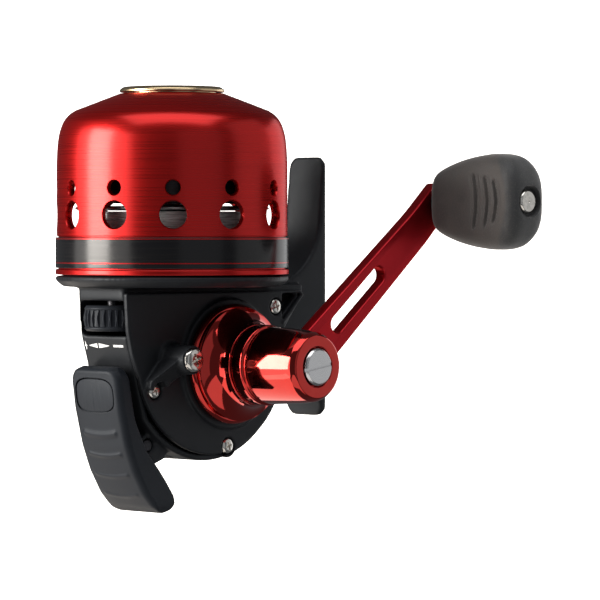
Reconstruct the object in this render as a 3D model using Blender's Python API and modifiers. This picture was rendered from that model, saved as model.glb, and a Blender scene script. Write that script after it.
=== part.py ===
"""Spincast fishing reel, modelled piece by piece in its own frame.

The origin is the middle of the foot's underside. +X points to the nose cone, +Z away from the rod,
and the crank is on the -Y side. Sizes below are millimetres, and places are given as x, forward of
the foot's middle, a, from the middle plane toward the crank, and u, above the spool's axis.
"""

import math

import bmesh
import bpy
from mathutils import Matrix, Vector

MM = 0.001
FINE_STEPS = 36
ROUND_STEPS = 26
SMALL_STEPS = 16
GAP = 0.3

# Driving dimensions
AXIS_HEIGHT = 48.8
COVER_RADIUS = 28.8
RIM_RADIUS = 29.1
COVER_WALL = 1.1
FOOT_LENGTH = 67.0
FOOT_WIDTH = 12.8
CRANK_X = -18.9
CRANK_U = -9.5
CRANK_LENGTH = 64.6
CRANK_ANGLE = 38.8
LEVER_X = -38.5
LEVER_U = 14.5
WHEEL_U = 19.8
WHEEL_RADIUS = 7.5

# Gear train
GEAR_TEETH = 37
PINION_TEETH = 9
PITCH_REACH = 12.5
PINION_PITCH_RADIUS = PITCH_REACH * PINION_TEETH / GEAR_TEETH
RATCHET_TEETH = 12
PAWL_X = -30.6
PAWL_U = -15.6

# Deck and cover
DECK_REAR = 0.45
DECK_FRONT = 3.15
COVER_REAR = DECK_FRONT + GAP
BAND_REAR = 5.1
BAND_FRONT = 12.7
BAND_SEAT_RADIUS = 28.4
NOSE_X = 48.8
NOSE_RADIUS = 13.1
NOSE_HOLE_RADIUS = 11.4
BIG_HOLE_RADIUS = 3.35
BIG_HOLE_X = 18.2
SMALL_HOLE_RADIUS = 1.8
SMALL_HOLE_X = 24.8
HOLES_ROUND = 12
HOLE_PHASE = 47.0

# Gear case, from the middle plane outward
CASE_FAR = -8.3
CASE_NEAR = 8.4
CASE_WALL = 1.6
CASE_CENTRE = (-15.4, -4.4)
CASE_RADIUS = 27.6
PLATE_INNER = CASE_NEAR + GAP
PLATE_OUTER = 10.2
PLATE_RADIUS = 25.8
SEAT_OUTER = 11.3
SEAT_RADIUS = 16.2
STEM_HALF_WIDTH = FOOT_WIDTH / 2
PLATE_SCREWS = {
    "plate_screw_front": (-4.9, -26.6),
    "plate_screw_rear": (-39.5, -9.6),
    "plate_screw_top": (-24.9, 15.5),
}
POST_X = -17.3
POST_U = 10.0
POST_TOP = 18.2
SCREW_HOLE_RADIUS = 1.35

# Crank, measured along its axis
HUB_START = 21.3
HUB_END = 41.5
ARM_FRONT = 36.5
ARM_THICKNESS = 3.4
ARM_BEND_START = 54.0
ARM_BEND_DROP = 0.9
ARM_HALF_WIDTH_HUB = 5.75
ARM_HALF_WIDTH_TIP = 4.4
ARM_END_RADIUS = 4.8
SHAFT_RADIUS = 2.4
SHAFT_INNER_END = -7.2
SHAFT_OUTER_END = 39.0
KNOB_START = 37.2
KNOB_END = 66.3
KNOB_THICKNESS = 12.8
KNOB_PIN_RADIUS = 1.8

# Thumb lever and drag wheel
LEVER_HALF_WIDTH = 8.75
LEVER_HOLLOW_HALF = 7.4
LEVER_BORE_RADIUS = 1.75
PAD_FLOOR = 25.1
EAR_INNER = 3.0
EAR_OUTER = 6.6
WHEEL_REAR = -10.3
WHEEL_FRONT = -4.0
WHEEL_BORE_RADIUS = 1.9

# Pieces on the spool axis, measured forward
CENTRE_SHAFT_RADIUS = 1.4
BOSS_RADIUS = 6.5
BOSS_FRONT = 21.6
SPOOL_REAR = 6.2
SPOOL_FRONT = 20.4
SPOOL_RADIUS = 24.8
LINE_RADIUS = 23.6
SPINNER_RADIUS = 24.3
PIN_X = 26.0
THRUST_REAR = -36.2
SHAFT_BORE_RADIUS = 1.75

parts = None
helpers = None


def start_scene():
    global parts, helpers
    for obj in list(bpy.data.objects):
        bpy.data.objects.remove(obj)
    parts = bpy.data.collections.new("spincast_reel")
    helpers = bpy.data.collections.new("cutters")
    for collection in (parts, helpers):
        bpy.context.scene.collection.children.link(collection)


def place(x, a, u):
    """The world point x forward, a toward the crank and u above the spool's axis."""
    return Vector((x, -a, AXIS_HEIGHT + u)) * MM


# Each of these turns an object's own Z to where its name says.
FORWARD = Matrix.Rotation(math.radians(90), 4, "Y")
CRANKWARD = Matrix.Rotation(math.radians(90), 4, "X")
DOWNWARD = Matrix.Rotation(math.radians(180), 4, "X")
UPWARD = Matrix.Identity(4)


def along_arm(facing):
    """CRANKWARD or another turn, with the object's X along the crank arm."""
    return facing @ Matrix.Rotation(math.radians(CRANK_ANGLE - 90), 4, "Z")


def material(name, colour, roughness, metallic=0.0):
    made = bpy.data.materials.get(name)
    if made is None:
        made = bpy.data.materials.new(name)
        made.use_nodes = True
        shader = made.node_tree.nodes["Principled BSDF"]
        shader.inputs["Base Color"].default_value = (*colour, 1.0)
        shader.inputs["Roughness"].default_value = roughness
        shader.inputs["Metallic"].default_value = metallic
    return made


def black_plastic():
    return material("black_plastic", (0.028, 0.03, 0.033), 0.45)


def red_anodised():
    return material("red_anodised", (0.42, 0.008, 0.014), 0.3, 1.0)


def red_chrome():
    return material("red_chrome", (0.55, 0.012, 0.016), 0.08, 1.0)


def gold():
    return material("gold", (0.78, 0.56, 0.25), 0.25, 1.0)


def steel():
    return material("steel", (0.6, 0.6, 0.6), 0.25, 1.0)


def brass():
    return material("brass", (0.7, 0.5, 0.2), 0.3, 1.0)


def soft_rubber():
    return material("soft_rubber", (0.045, 0.038, 0.034), 0.75)


def fishing_line():
    return material("fishing_line", (0.62, 0.64, 0.64), 0.4)


def white_nylon():
    return material("white_nylon", (0.75, 0.74, 0.7), 0.5)


def add_object(name, data, matrix):
    obj = bpy.data.objects.new(name, data)
    obj.matrix_world = matrix
    parts.objects.link(obj)
    return obj


def finish_piece(obj, surface):
    """Gives the piece its material and shades its round faces smooth."""
    obj.data.materials.clear()
    obj.data.materials.append(surface)
    if obj.data.polygons:
        obj.data.shade_smooth()
        obj.data.set_sharp_from_angle(angle=math.radians(30))
    return obj


def turned(name, profile, axis_point, facing, steps=ROUND_STEPS, ring=False):
    """A turned piece. The profile is (radius, distance along the axis) points, down the outer side.

    A ring's profile is a closed loop. Any other profile starts and ends on the axis.
    """
    mesh = bpy.data.meshes.new(name)
    count = len(profile)
    edges = [(index, index + 1) for index in range(count - 1)]
    if ring:
        edges.append((count - 1, 0))
    mesh.from_pydata([(radius * MM, 0, height * MM) for radius, height in profile], edges, [])
    obj = add_object(name, mesh, Matrix.Translation(axis_point) @ facing)
    screw = obj.modifiers.new("turn", "SCREW")
    screw.steps = steps
    screw.render_steps = steps
    screw.use_merge_vertices = True
    screw.merge_threshold = 0.00001
    screw.use_smooth_shade = True
    return obj


def tube_profile(inner, outer, low, high):
    return [(inner, high), (outer, high), (outer, low), (inner, low)]


def rod_profile(radius, low, high):
    return [(0, high), (radius, high), (radius, low), (0, low)]


def on_axis():
    """The point of the spool's axis over the foot's middle."""
    return place(0, 0, 0)


def on_crank_axis():
    return place(CRANK_X, 0, CRANK_U)


def lever_axis():
    return place(LEVER_X, 0, LEVER_U)


def wheel_axis():
    return place(0, 0, WHEEL_U)


def knob_centre():
    """The knob pin's axis, as x and u."""
    turn = math.radians(CRANK_ANGLE)
    return CRANK_X + CRANK_LENGTH * math.sin(turn), CRANK_U - CRANK_LENGTH * math.cos(turn)


def prism(name, outline, point, facing, low, high, holes=()):
    """A flat outline in the object's own XY plane, solid from low to high along its own Z."""
    curve = bpy.data.curves.new(name, "CURVE")
    curve.dimensions = "2D"
    curve.fill_mode = "BOTH"
    curve.extrude = (high - low) / 2 * MM
    for points in (outline, *holes):
        spline = curve.splines.new("POLY")
        spline.points.add(len(points) - 1)
        for spot, (across, along) in zip(spline.points, points):
            spot.co = (across * MM, along * MM, 0, 1)
        spline.use_cyclic_u = True
    lift = Matrix.Translation((0, 0, (low + high) / 2 * MM))
    guide = add_object(name + "_outline", curve, Matrix.Identity(4))
    graph = bpy.context.evaluated_depsgraph_get()
    mesh = bpy.data.meshes.new_from_object(guide.evaluated_get(graph))
    bpy.data.objects.remove(guide)
    made = bmesh.new()
    made.from_mesh(mesh)
    bmesh.ops.remove_doubles(made, verts=made.verts, dist=0.000001)
    bmesh.ops.recalc_face_normals(made, faces=made.faces)
    bmesh.ops.transform(made, matrix=lift, verts=made.verts)
    made.to_mesh(mesh)
    made.free()
    mesh.name = name
    return add_object(name, mesh, Matrix.Translation(point) @ facing)


def side_prism(name, outline, low, high, holes=()):
    """A prism whose outline is (x, u) points of the side view, from low to high toward the crank."""
    return prism(name, outline, on_axis(), CRANKWARD, low, high, holes)


def block(name, low, high):
    """A box between two corners given as (x, a, u)."""
    corner, other = place(*low), place(*high)
    size = [abs(far - near) for near, far in zip(corner, other)]
    made = bmesh.new()
    bmesh.ops.create_cube(made, size=1.0, matrix=Matrix.Diagonal((*size, 1.0)))
    mesh = bpy.data.meshes.new(name)
    made.to_mesh(mesh)
    made.free()
    return add_object(name, mesh, Matrix.Translation((corner + other) / 2))


def cylinder(name, radius, low, high, point, facing, sides=SMALL_STEPS):
    made = bmesh.new()
    bmesh.ops.create_cone(
        made,
        cap_ends=True,
        segments=sides,
        radius1=radius * MM,
        radius2=radius * MM,
        depth=(high - low) * MM,
        matrix=Matrix.Translation((0, 0, (low + high) / 2 * MM)),
    )
    mesh = bpy.data.meshes.new(name)
    made.to_mesh(mesh)
    made.free()
    return add_object(name, mesh, Matrix.Translation(point) @ facing)


def helper(obj):
    """Sets an object aside as a Boolean's operand."""
    parts.objects.unlink(obj)
    helpers.objects.link(obj)
    obj.hide_render = True
    obj.display_type = "WIRE"
    return obj


def boolean(target, operation, other):
    modifier = target.modifiers.new(operation.lower(), "BOOLEAN")
    modifier.operation = operation
    modifier.solver = "EXACT"
    modifier.object = helper(other)
    return target


def cut(target, other):
    return boolean(target, "DIFFERENCE", other)


def join(target, other):
    return boolean(target, "UNION", other)


def keep_inside(target, other):
    return boolean(target, "INTERSECT", other)


def bevel(obj, width, segments, angle=40):
    modifier = obj.modifiers.new("bevel", "BEVEL")
    modifier.width = width * MM
    modifier.segments = segments
    modifier.limit_method = "ANGLE"
    modifier.angle_limit = math.radians(angle)
    return obj


def arc(centre, radius, start, end, count):
    """Points along an arc of the given number of steps, in degrees anticlockwise from the first axis."""
    turns = [math.radians(start + (end - start) * step / count) for step in range(count + 1)]
    return [(centre[0] + radius * math.cos(t), centre[1] + radius * math.sin(t)) for t in turns]


# Frame


def case_outline(inset=0.0):
    """The gear case in the side view: the sloping top, the round back and the lower front corner."""
    top = [(0.8, 24.4), (-10.0, 23.9), (-16.0, 22.5), (-22.0, 20.4), (-32.0, 17.6)]
    back = arc(CASE_CENTRE, CASE_RADIUS - inset, 131, 281, 20)
    corner = [(-1.9, -38.1), (0.8, -38.1)]
    return [(x, u - inset) for x, u in top] + back + corner


def cavity_outline():
    top = [(-1.45, 22.7), (-10.0, 22.3), (-16.0, 20.9), (-22.0, 18.8), (-32.0, 15.9)]
    back = arc(CASE_CENTRE, CASE_RADIUS - CASE_WALL, 131, 272, 18)
    return top + back + [(-4.0, -29.6), (-1.45, -28.4)]


def stem_outline():
    """The stem and the foot in the side view, with the fillets that run out into the foot."""
    half = FOOT_LENGTH / 2
    front = arc((18.8, -28.9), 17.8, 270, 180, 8)
    rear = arc((-34.0, -33.2), 14.0, 0, -90, 7)
    toe = [(half, -AXIS_HEIGHT), (half, -AXIS_HEIGHT + 0.7)]
    heel = [(-half, -AXIS_HEIGHT + 1.5), (-half, -AXIS_HEIGHT)]
    return toe + front + [(1.0, -24.0), (-20.0, -24.0)] + rear + heel


def foot_plan():
    """The foot and stem from above: a strip with rounded ends."""
    half = FOOT_LENGTH / 2
    corner = 3.2
    inner = half - corner
    side = STEM_HALF_WIDTH - corner
    outline = []
    for x, a, start in ((inner, side, 0), (-inner, side, 90), (-inner, -side, 180), (inner, -side, 270)):
        outline += arc((x, a), corner, start, start + 90, 4)
    return outline


def ear_outline():
    """An ear that carries the lever's pin: a round end, a tail behind it and a root in the case."""
    round_end = arc((LEVER_X, LEVER_U), 2.5, 35, 150, 6)
    return round_end + [(-43.4, 12.4), (-42.0, 8.6), (-36.0, 4.5), (-31.0, 12.0)]


def window_plan():
    """The opening over the drag wheel from above, with its rear corner rounded on the far side."""
    rear, front = -11.4, -2.85
    far, near = -WHEEL_RADIUS - GAP, CASE_NEAR + 0.6
    corner = 1.6
    return arc((rear + corner, far + corner), corner, 180, 270, 4) + [(front, far), (front, near), (rear, near)]


def make_frame_body():
    deck = [
        (0, BOSS_FRONT),
        (BOSS_RADIUS, BOSS_FRONT),
        (BOSS_RADIUS, DECK_FRONT),
        (25.3, DECK_FRONT),
        (25.3, 5.6),
        (26.9, 5.6),
        (26.9, DECK_FRONT),
        (RIM_RADIUS, DECK_FRONT),
        (RIM_RADIUS, 1.9),
        (28.6, 1.0),
        (27.2, DECK_REAR),
        (0, DECK_REAR),
    ]
    body = turned("frame_body", deck, on_axis(), FORWARD, FINE_STEPS)
    join(body, side_prism("case", case_outline(), CASE_FAR, CASE_NEAR))
    stem = side_prism("stem", stem_outline(), -STEM_HALF_WIDTH - 1, STEM_HALF_WIDTH + 1)
    keep_inside(stem, prism("stem_plan", foot_plan(), on_axis(), UPWARD, -60, -20))
    join(body, stem)
    for side in (-1, 1):
        low, high = sorted((EAR_INNER * side, EAR_OUTER * side))
        join(body, side_prism("ear", ear_outline(), low, high))
    cut(body, side_prism("cavity", cavity_outline(), CASE_FAR + CASE_WALL, CASE_NEAR + 1))
    join(body, cylinder("crank_boss", 5.2, CASE_FAR + 1, -4.2, on_crank_axis(), CRANKWARD, 24))
    cut(body, cylinder("crank_boss_bore", 4.3, -7.5, -3.0, on_crank_axis(), CRANKWARD, 24))
    for name, (x, u) in PLATE_SCREWS.items():
        point = place(x, 0, u)
        join(body, cylinder("boss", 2.6, CASE_FAR + 1, CASE_NEAR - 0.05, point, CRANKWARD, 14))
        cut(body, cylinder("boss_bore", SCREW_HOLE_RADIUS, 3.0, CASE_NEAR + 1, point, CRANKWARD, 12))
    post_point = place(POST_X, 0, POST_U)
    join(body, cylinder("post_boss", 2.0, CASE_FAR + 1, CASE_NEAR - 0.05, post_point, CRANKWARD, 14))
    cut(body, cylinder("post_bore", SCREW_HOLE_RADIUS, 3.0, CASE_NEAR + 1, post_point, CRANKWARD, 12))
    cut(body, cylinder("hub_bore", 4.9, -4.0, 30.0, on_axis(), FORWARD, 24))
    cut(body, block("lever_slot", (-46, -2.8, 1.0), (-29.5, 2.8, 30)))
    cut(body, prism("wheel_window", window_plan(), on_axis(), DOWNWARD, -40, -11.5))
    cut(body, cylinder("lever_bore", LEVER_BORE_RADIUS, -8, 8, lever_axis(), CRANKWARD, 16))
    cut(body, cylinder("drag_bore", WHEEL_BORE_RADIUS, -2, 6, wheel_axis(), FORWARD, 16))
    return finish_piece(body, black_plastic())


def plate_outline():
    """The side plate: the same top line as the case, a smaller round back and the lower front corner."""
    top = [(-0.9, 24.9), (-10.0, 24.3), (-16.0, 22.9), (-21.5, 20.7)]
    back = arc((-15.6, -4.6), PLATE_RADIUS, 103, 193, 12)
    rear_x, rear_u = PLATE_SCREWS["plate_screw_rear"]
    bump = arc((rear_x, rear_u), 2.9, 150, 250, 5)
    bottom = arc((-15.6, -4.6), PLATE_RADIUS, 203, 282, 10)
    return top + back + bump + bottom + [(-1.9, -36.2), (-0.9, -36.2)]


def gusset_outline():
    """The web beside the screw post, seen from the crank side, running up and back from it."""
    root = [(-14.5, 8.6), (-13.8, 11.0), (-18.0, 14.5)]
    return root + [(-22.3, 18.6), (-24.7, 19.2), (-24.7, 16.4), (-23.9, 13.0), (-19.8, 7.8)]


def make_side_plate():
    plate = side_prism("side_plate", plate_outline(), PLATE_INNER, PLATE_OUTER)
    join(plate, cylinder("seat", SEAT_RADIUS, 9.0, SEAT_OUTER, on_crank_axis(), CRANKWARD, 32))
    post_point = place(POST_X, 0, POST_U)
    join(plate, cylinder("post", 3.7, 9.0, POST_TOP, post_point, CRANKWARD, 24))
    web = side_prism("web", gusset_outline(), 9.0, 16.5)
    slope = [(-30, 9), (-30, 12.2), (-22.5, 12.6), (-15.5, 18.2), (-10, 18.2), (-10, 9)]
    keep_inside(web, prism("web_slope", slope, on_axis(), DOWNWARD, -40, 20))
    join(plate, web)
    cut(plate, cylinder("shaft_hole", 3.6, 5, 15, on_crank_axis(), CRANKWARD, 24))
    for name, (x, u) in PLATE_SCREWS.items():
        point = place(x, 0, u)
        cut(plate, cylinder("head_pocket", 2.3, 9.3, 20, point, CRANKWARD, 16))
        cut(plate, cylinder("shank_hole", SCREW_HOLE_RADIUS, 5, 15, point, CRANKWARD, 12))
    cut(plate, cylinder("post_pocket", 3.35, POST_TOP - 0.9, 25, post_point, CRANKWARD, 20))
    cut(plate, cylinder("post_hole", SCREW_HOLE_RADIUS, 5, 25, post_point, CRANKWARD, 12))
    return finish_piece(plate, black_plastic())


def make_screw(name, x, u, head_radius, head_low, head_high, tip):
    """A round-headed screw whose shank runs in from under its head to tip."""
    shank = 0.95
    profile = [
        (0, head_high),
        (head_radius * 0.6, head_high),
        (head_radius, head_low + 0.3),
        (head_radius, head_low),
        (shank, head_low),
        (shank, tip),
        (0, tip),
    ]
    screw = turned(name, profile, place(x, 0, u), CRANKWARD, 16)
    size = head_radius * 0.5
    for index, (wide, high) in enumerate(((size, 0.2), (0.2, size))):
        low = (x - wide, head_high - 0.35, u - high)
        cut(screw, block(f"{name}_recess_{index}", low, (x + wide, head_high + 1, u + high)))
    return finish_piece(screw, steel())


# Cover


def cover_outer_profile():
    """(radius, x) down the outside, from the nose hole to the rear rim."""
    return [
        (NOSE_RADIUS, NOSE_X - GAP),
        (24.3, 44.1),
        (25.4, 43.35),
        (26.45, 42.3),
        (27.25, 41.0),
        (27.9, 39.3),
        (28.35, 37.2),
        (28.65, 34.2),
        (COVER_RADIUS, 30.5),
        (COVER_RADIUS, BAND_FRONT + GAP),
        (BAND_SEAT_RADIUS, BAND_FRONT + GAP),
        (BAND_SEAT_RADIUS, BAND_REAR - GAP),
        (RIM_RADIUS, BAND_REAR - GAP),
        (RIM_RADIUS, COVER_REAR),
    ]


def cover_inner_profile():
    """(radius, x) up the inside, from the rear rim to the nose hole."""
    return [
        (BAND_SEAT_RADIUS - COVER_WALL, COVER_REAR),
        (BAND_SEAT_RADIUS - COVER_WALL, 36.3),
        (26.85, 38.8),
        (26.3, 40.3),
        (25.6, 41.5),
        (24.6, 42.5),
        (23.8, 43.0),
        (NOSE_RADIUS - 0.4, 47.2),
        (NOSE_HOLE_RADIUS, 47.2),
        (NOSE_HOLE_RADIUS, NOSE_X - GAP),
    ]


def make_front_cover():
    profile = cover_outer_profile() + cover_inner_profile()
    cover = turned("front_cover", profile, on_axis(), FORWARD, FINE_STEPS, ring=True)
    for index in range(HOLES_ROUND):
        turn = Matrix.Rotation(math.radians(HOLE_PHASE + index * 360 / HOLES_ROUND), 4, "X")
        for radius, x in ((BIG_HOLE_RADIUS, BIG_HOLE_X), (SMALL_HOLE_RADIUS, SMALL_HOLE_X)):
            drill = cylinder(f"drill_{index}", radius, 26.0, 31.0, Vector(), UPWARD, 12)
            drill.matrix_world = Matrix.Translation(place(x, 0, 0)) @ turn
            cut(cover, drill)
    return finish_piece(cover, red_anodised())


def make_cover_band():
    profile = tube_profile(BAND_SEAT_RADIUS + GAP, RIM_RADIUS, BAND_REAR, BAND_FRONT)
    band = turned("cover_band", profile, on_axis(), FORWARD, FINE_STEPS, ring=True)
    return finish_piece(band, black_plastic())


def make_nozzle_ring():
    profile = [
        (9.4, 50.1),
        (12.0, 50.2),
        (12.7, 49.9),
        (NOSE_RADIUS, 49.3),
        (NOSE_RADIUS, NOSE_X + 0.1),
        (11.1, NOSE_X + 0.1),
        (11.1, 46.9),
        (9.6, 46.9),
        (8.8, 48.4),
        (8.8, 49.5),
    ]
    ring = turned("nozzle_ring", profile, on_axis(), FORWARD, ROUND_STEPS, ring=True)
    return finish_piece(ring, gold())


# Spool and line


def make_spool():
    profile = [
        (7.0, SPOOL_FRONT),
        (24.3, SPOOL_FRONT),
        (SPOOL_RADIUS, SPOOL_FRONT - 0.5),
        (24.3, SPOOL_FRONT - 1.0),
        (9.0, SPOOL_FRONT - 1.0),
        (9.0, SPOOL_REAR + 1.1),
        (SPOOL_RADIUS, SPOOL_REAR + 1.1),
        (SPOOL_RADIUS, SPOOL_REAR),
        (7.0, SPOOL_REAR),
    ]
    spool = turned("spool", profile, on_axis(), FORWARD, ROUND_STEPS, ring=True)
    return finish_piece(spool, steel())


def make_line_winding():
    low = SPOOL_REAR + 1.1 + GAP
    high = SPOOL_FRONT - 1.0 - GAP
    middle = (low + high) / 2
    profile = [
        (9.3, high),
        (LINE_RADIUS - 0.5, high),
        (LINE_RADIUS, middle),
        (LINE_RADIUS - 0.5, low),
        (9.3, low),
    ]
    winding = turned("line_winding", profile, on_axis(), FORWARD, ROUND_STEPS, ring=True)
    return finish_piece(winding, fishing_line())


def make_ring(name, inner, outer, low, high, surface, steps=ROUND_STEPS):
    ring = turned(name, tube_profile(inner, outer, low, high), on_axis(), FORWARD, steps, ring=True)
    return finish_piece(ring, surface)


def make_spool_clip():
    clip = turned("spool_clip", tube_profile(6.8, 8.8, 20.75, 21.35), on_axis(), FORWARD, 24, ring=True)
    cut(clip, block("clip_gap", (15, -2.2, 0), (25, 2.2, 12)))
    return finish_piece(clip, steel())


# Spinner


def make_spinner_head():
    profile = [
        (SHAFT_BORE_RADIUS, 40.0),
        (16.0, 40.0),
        (20.0, 39.6),
        (22.9, 37.8),
        (23.6, 35.6),
        (SPINNER_RADIUS, 34.0),
        (SPINNER_RADIUS, 21.9),
        (23.3, 21.0),
        (23.0, 21.9),
        (23.0, 34.0),
        (22.0, 36.8),
        (19.0, 38.5),
        (4.2, 38.7),
        (4.2, 31.0),
        (SHAFT_BORE_RADIUS, 31.0),
    ]
    head = turned("spinner_head", profile, on_axis(), FORWARD, ROUND_STEPS, ring=True)
    for index, side in enumerate((-1, 1)):
        spin = Matrix.Rotation(math.radians(90 * side), 4, "X")
        drill = cylinder(f"pin_hole_{index}", 1.15, 20.0, 28.0, Vector(), UPWARD, 14)
        drill.matrix_world = Matrix.Translation(place(PIN_X, 0, 0)) @ spin
        cut(head, drill)
    return finish_piece(head, steel())


def make_rim_ring():
    profile = [(24.0, 37.6), (24.8, 37.3), (25.0, 36.6), (24.9, 35.0), (24.6, 34.5), (24.0, 36.0)]
    ring = turned("rim_ring", profile, on_axis(), FORWARD, ROUND_STEPS, ring=True)
    return finish_piece(ring, soft_rubber())


def make_pickup_pin(name, side):
    """A pin through the spinner head's skirt, with a head inside. side is 1 toward the crank."""
    profile = [(0, 26.2), (0.45, 26.2), (0.8, 25.7), (0.8, 21.2), (1.6, 21.2), (1.6, 20.2), (0, 20.2)]
    spin = Matrix.Rotation(math.radians(90 * side), 4, "X")
    pin = turned(name, profile, place(PIN_X, 0, 0), spin, 12)
    return finish_piece(pin, steel())


def make_centre_shaft():
    profile = rod_profile(CENTRE_SHAFT_RADIUS, -34.4, 43.4)
    shaft = turned("centre_shaft", profile, on_axis(), FORWARD, 16)
    return finish_piece(shaft, steel())


def make_spinner_nut():
    profile = tube_profile(SHAFT_BORE_RADIUS, 3.4, 40.3, 42.8)
    nut = turned("spinner_nut", profile, on_axis(), FORWARD, 6, ring=True)
    return finish_piece(nut, brass())


def make_thrust_cap():
    profile = [
        (SHAFT_BORE_RADIUS, THRUST_REAR + 4.2),
        (2.5, THRUST_REAR + 4.2),
        (2.5, THRUST_REAR + 3.4),
        (2.3, THRUST_REAR + 3.4),
        (2.3, THRUST_REAR),
        (0, THRUST_REAR),
        (0, THRUST_REAR + 1.4),
        (SHAFT_BORE_RADIUS, THRUST_REAR + 1.4),
    ]
    cap = turned("thrust_cap", profile, on_axis(), FORWARD, 20, ring=True)
    return finish_piece(cap, white_nylon())


def make_return_spring():
    """The coil between the thrust cap and the pinion gear."""
    rear = THRUST_REAR + 4.2 + 0.7
    front = -12.2
    turns = 6
    per_turn = 8
    radius = 2.05
    count = turns * per_turn
    curve = bpy.data.curves.new("return_spring", "CURVE")
    curve.dimensions = "3D"
    curve.bevel_depth = 0.25 * MM
    curve.bevel_resolution = 0
    curve.use_fill_caps = True
    spline = curve.splines.new("POLY")
    spline.points.add(count)
    for index, spot in enumerate(spline.points):
        turn = 2 * math.pi * index / per_turn
        along = rear + (front - rear) * index / count
        spot.co = (radius * math.cos(turn) * MM, radius * math.sin(turn) * MM, along * MM, 1)
    spring = add_object("return_spring", curve, Matrix.Translation(on_axis()) @ FORWARD)
    spring.data.materials.append(steel())
    return spring


# Gears


def pinion_outline():
    """Nine teeth round the spool's axis, one of them pointing at the crank side."""
    root = PINION_PITCH_RADIUS - 0.62
    tip = PINION_PITCH_RADIUS + 0.4
    outline = []
    for tooth in range(PINION_TEETH):
        centre = 360 * tooth / PINION_TEETH
        for radius, offset in ((root, -11.0), (tip, -3.6), (tip, 3.6), (root, 11.0)):
            turn = math.radians(centre + offset)
            outline.append((radius * math.cos(turn), radius * math.sin(turn)))
    return outline


def make_pinion_gear():
    # The outline's first tooth points along the object's X, which this turn brings to the crank side.
    facing = FORWARD @ Matrix.Rotation(math.radians(-90), 4, "Z")
    gear = prism("pinion_gear", pinion_outline(), on_axis(), facing, -8.7, -4.2)
    join(gear, cylinder("pinion_tube", 3.0, -4.4, 22.6, on_axis(), FORWARD, 20))
    cut(gear, cylinder("pinion_bore", SHAFT_BORE_RADIUS, -12, 30, on_axis(), FORWARD, 16))
    return finish_piece(gear, brass())


def gear_tooth(index):
    """One straight tooth of the face gear. Its line passes the gear's centre at the crank's offset."""
    root_half, tip_half = 0.42, 0.22
    tip = PINION_PITCH_RADIUS - 0.4
    root = tip + 1.3
    section = [(-root_half, root + 0.4), (root_half, root + 0.4), (tip_half, tip), (-tip_half, tip)]
    facing = CRANKWARD @ Matrix.Rotation(math.radians((index + 0.5) * 360 / GEAR_TEETH), 4, "Z")
    lift = Matrix.Translation((0, -CRANK_U * MM, 0))
    stand = Matrix.Rotation(math.radians(90), 4, "Y") @ Matrix.Rotation(math.radians(90), 4, "Z")
    tooth = prism(f"gear_tooth_{index}", section, Vector(), UPWARD, PITCH_REACH - 1.3, PITCH_REACH + 1.3)
    tooth.matrix_world = Matrix.Translation(on_crank_axis()) @ facing @ lift @ stand
    return tooth


def make_drive_gear():
    face = PINION_PITCH_RADIUS + 0.9
    profile = [
        (SHAFT_RADIUS + GAP, face + 2.1),
        (17.0, face + 2.1),
        (17.0, face),
        (4.8, face),
        (4.8, -1.3),
        (SHAFT_RADIUS + GAP, -1.3),
    ]
    gear = turned("drive_gear", profile, on_crank_axis(), CRANKWARD, 37, ring=True)
    for index in range(GEAR_TEETH):
        join(gear, gear_tooth(index))
    return finish_piece(gear, brass())


def ratchet_outline():
    outline = []
    for tooth in range(RATCHET_TEETH):
        start = 360 * tooth / RATCHET_TEETH
        for radius, offset in ((6.0, 0.0), (7.2, 4.0), (7.2, 9.0)):
            turn = math.radians(start + offset)
            outline.append((radius * math.cos(turn), radius * math.sin(turn)))
    return outline


def make_ratchet_wheel():
    bore = arc((0, 0), SHAFT_RADIUS + GAP, 360, 0, 16)[:-1]
    wheel = prism(
        "ratchet_wheel", ratchet_outline(), on_crank_axis(), CRANKWARD, -3.4, -1.8, holes=(bore,)
    )
    return finish_piece(wheel, steel())


def make_pawl():
    """A slim pawl on its own pin, held off the ratchet at rest."""
    point = place(PAWL_X, 0, PAWL_U)
    tail = arc((0, 0), 1.9, 60, 300, 8)
    outline = tail + [(3.4, -0.6), (5.1, 0.4), (5.3, 1.4), (3.2, 1.5)]
    bore = arc((0, 0), 1.2, 360, 0, 12)[:-1]
    turn = CRANKWARD @ Matrix.Rotation(math.radians(27), 4, "Z")
    pawl = prism("anti_reverse_pawl", outline, point, turn, -3.4, -1.8, holes=(bore,))
    return finish_piece(pawl, steel())


def make_pawl_pin():
    profile = [(0, -0.9), (1.6, -0.9), (1.6, -1.5), (0.9, -1.5), (0.9, -6.4), (0, -6.4)]
    pin = turned("pawl_pin", profile, place(PAWL_X, 0, PAWL_U), CRANKWARD, 12)
    return finish_piece(pin, steel())


# Crank


def make_crank_flange():
    """The chromed bearing housing: a wide rim, a step and a concave neck."""
    neck = arc((16.0, 20.6), 5.9, 250, 180, 6)
    profile = [
        (3.0, 21.0),
        (10.0, 21.0),
        *reversed(neck),
        (13.4, 13.9),
        (15.0, 13.2),
        (15.0, SEAT_OUTER + GAP),
        (6.3, SEAT_OUTER + GAP),
        (6.3, 18.2),
        (3.0, 18.2),
    ]
    flange = turned("crank_flange", profile, on_crank_axis(), CRANKWARD, ROUND_STEPS, ring=True)
    return finish_piece(flange, red_chrome())


def make_crank_ring(name, inner, outer, low, high, surface, steps=24):
    profile = tube_profile(inner, outer, low, high)
    ring = turned(name, profile, on_crank_axis(), CRANKWARD, steps, ring=True)
    return finish_piece(ring, surface)


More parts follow.
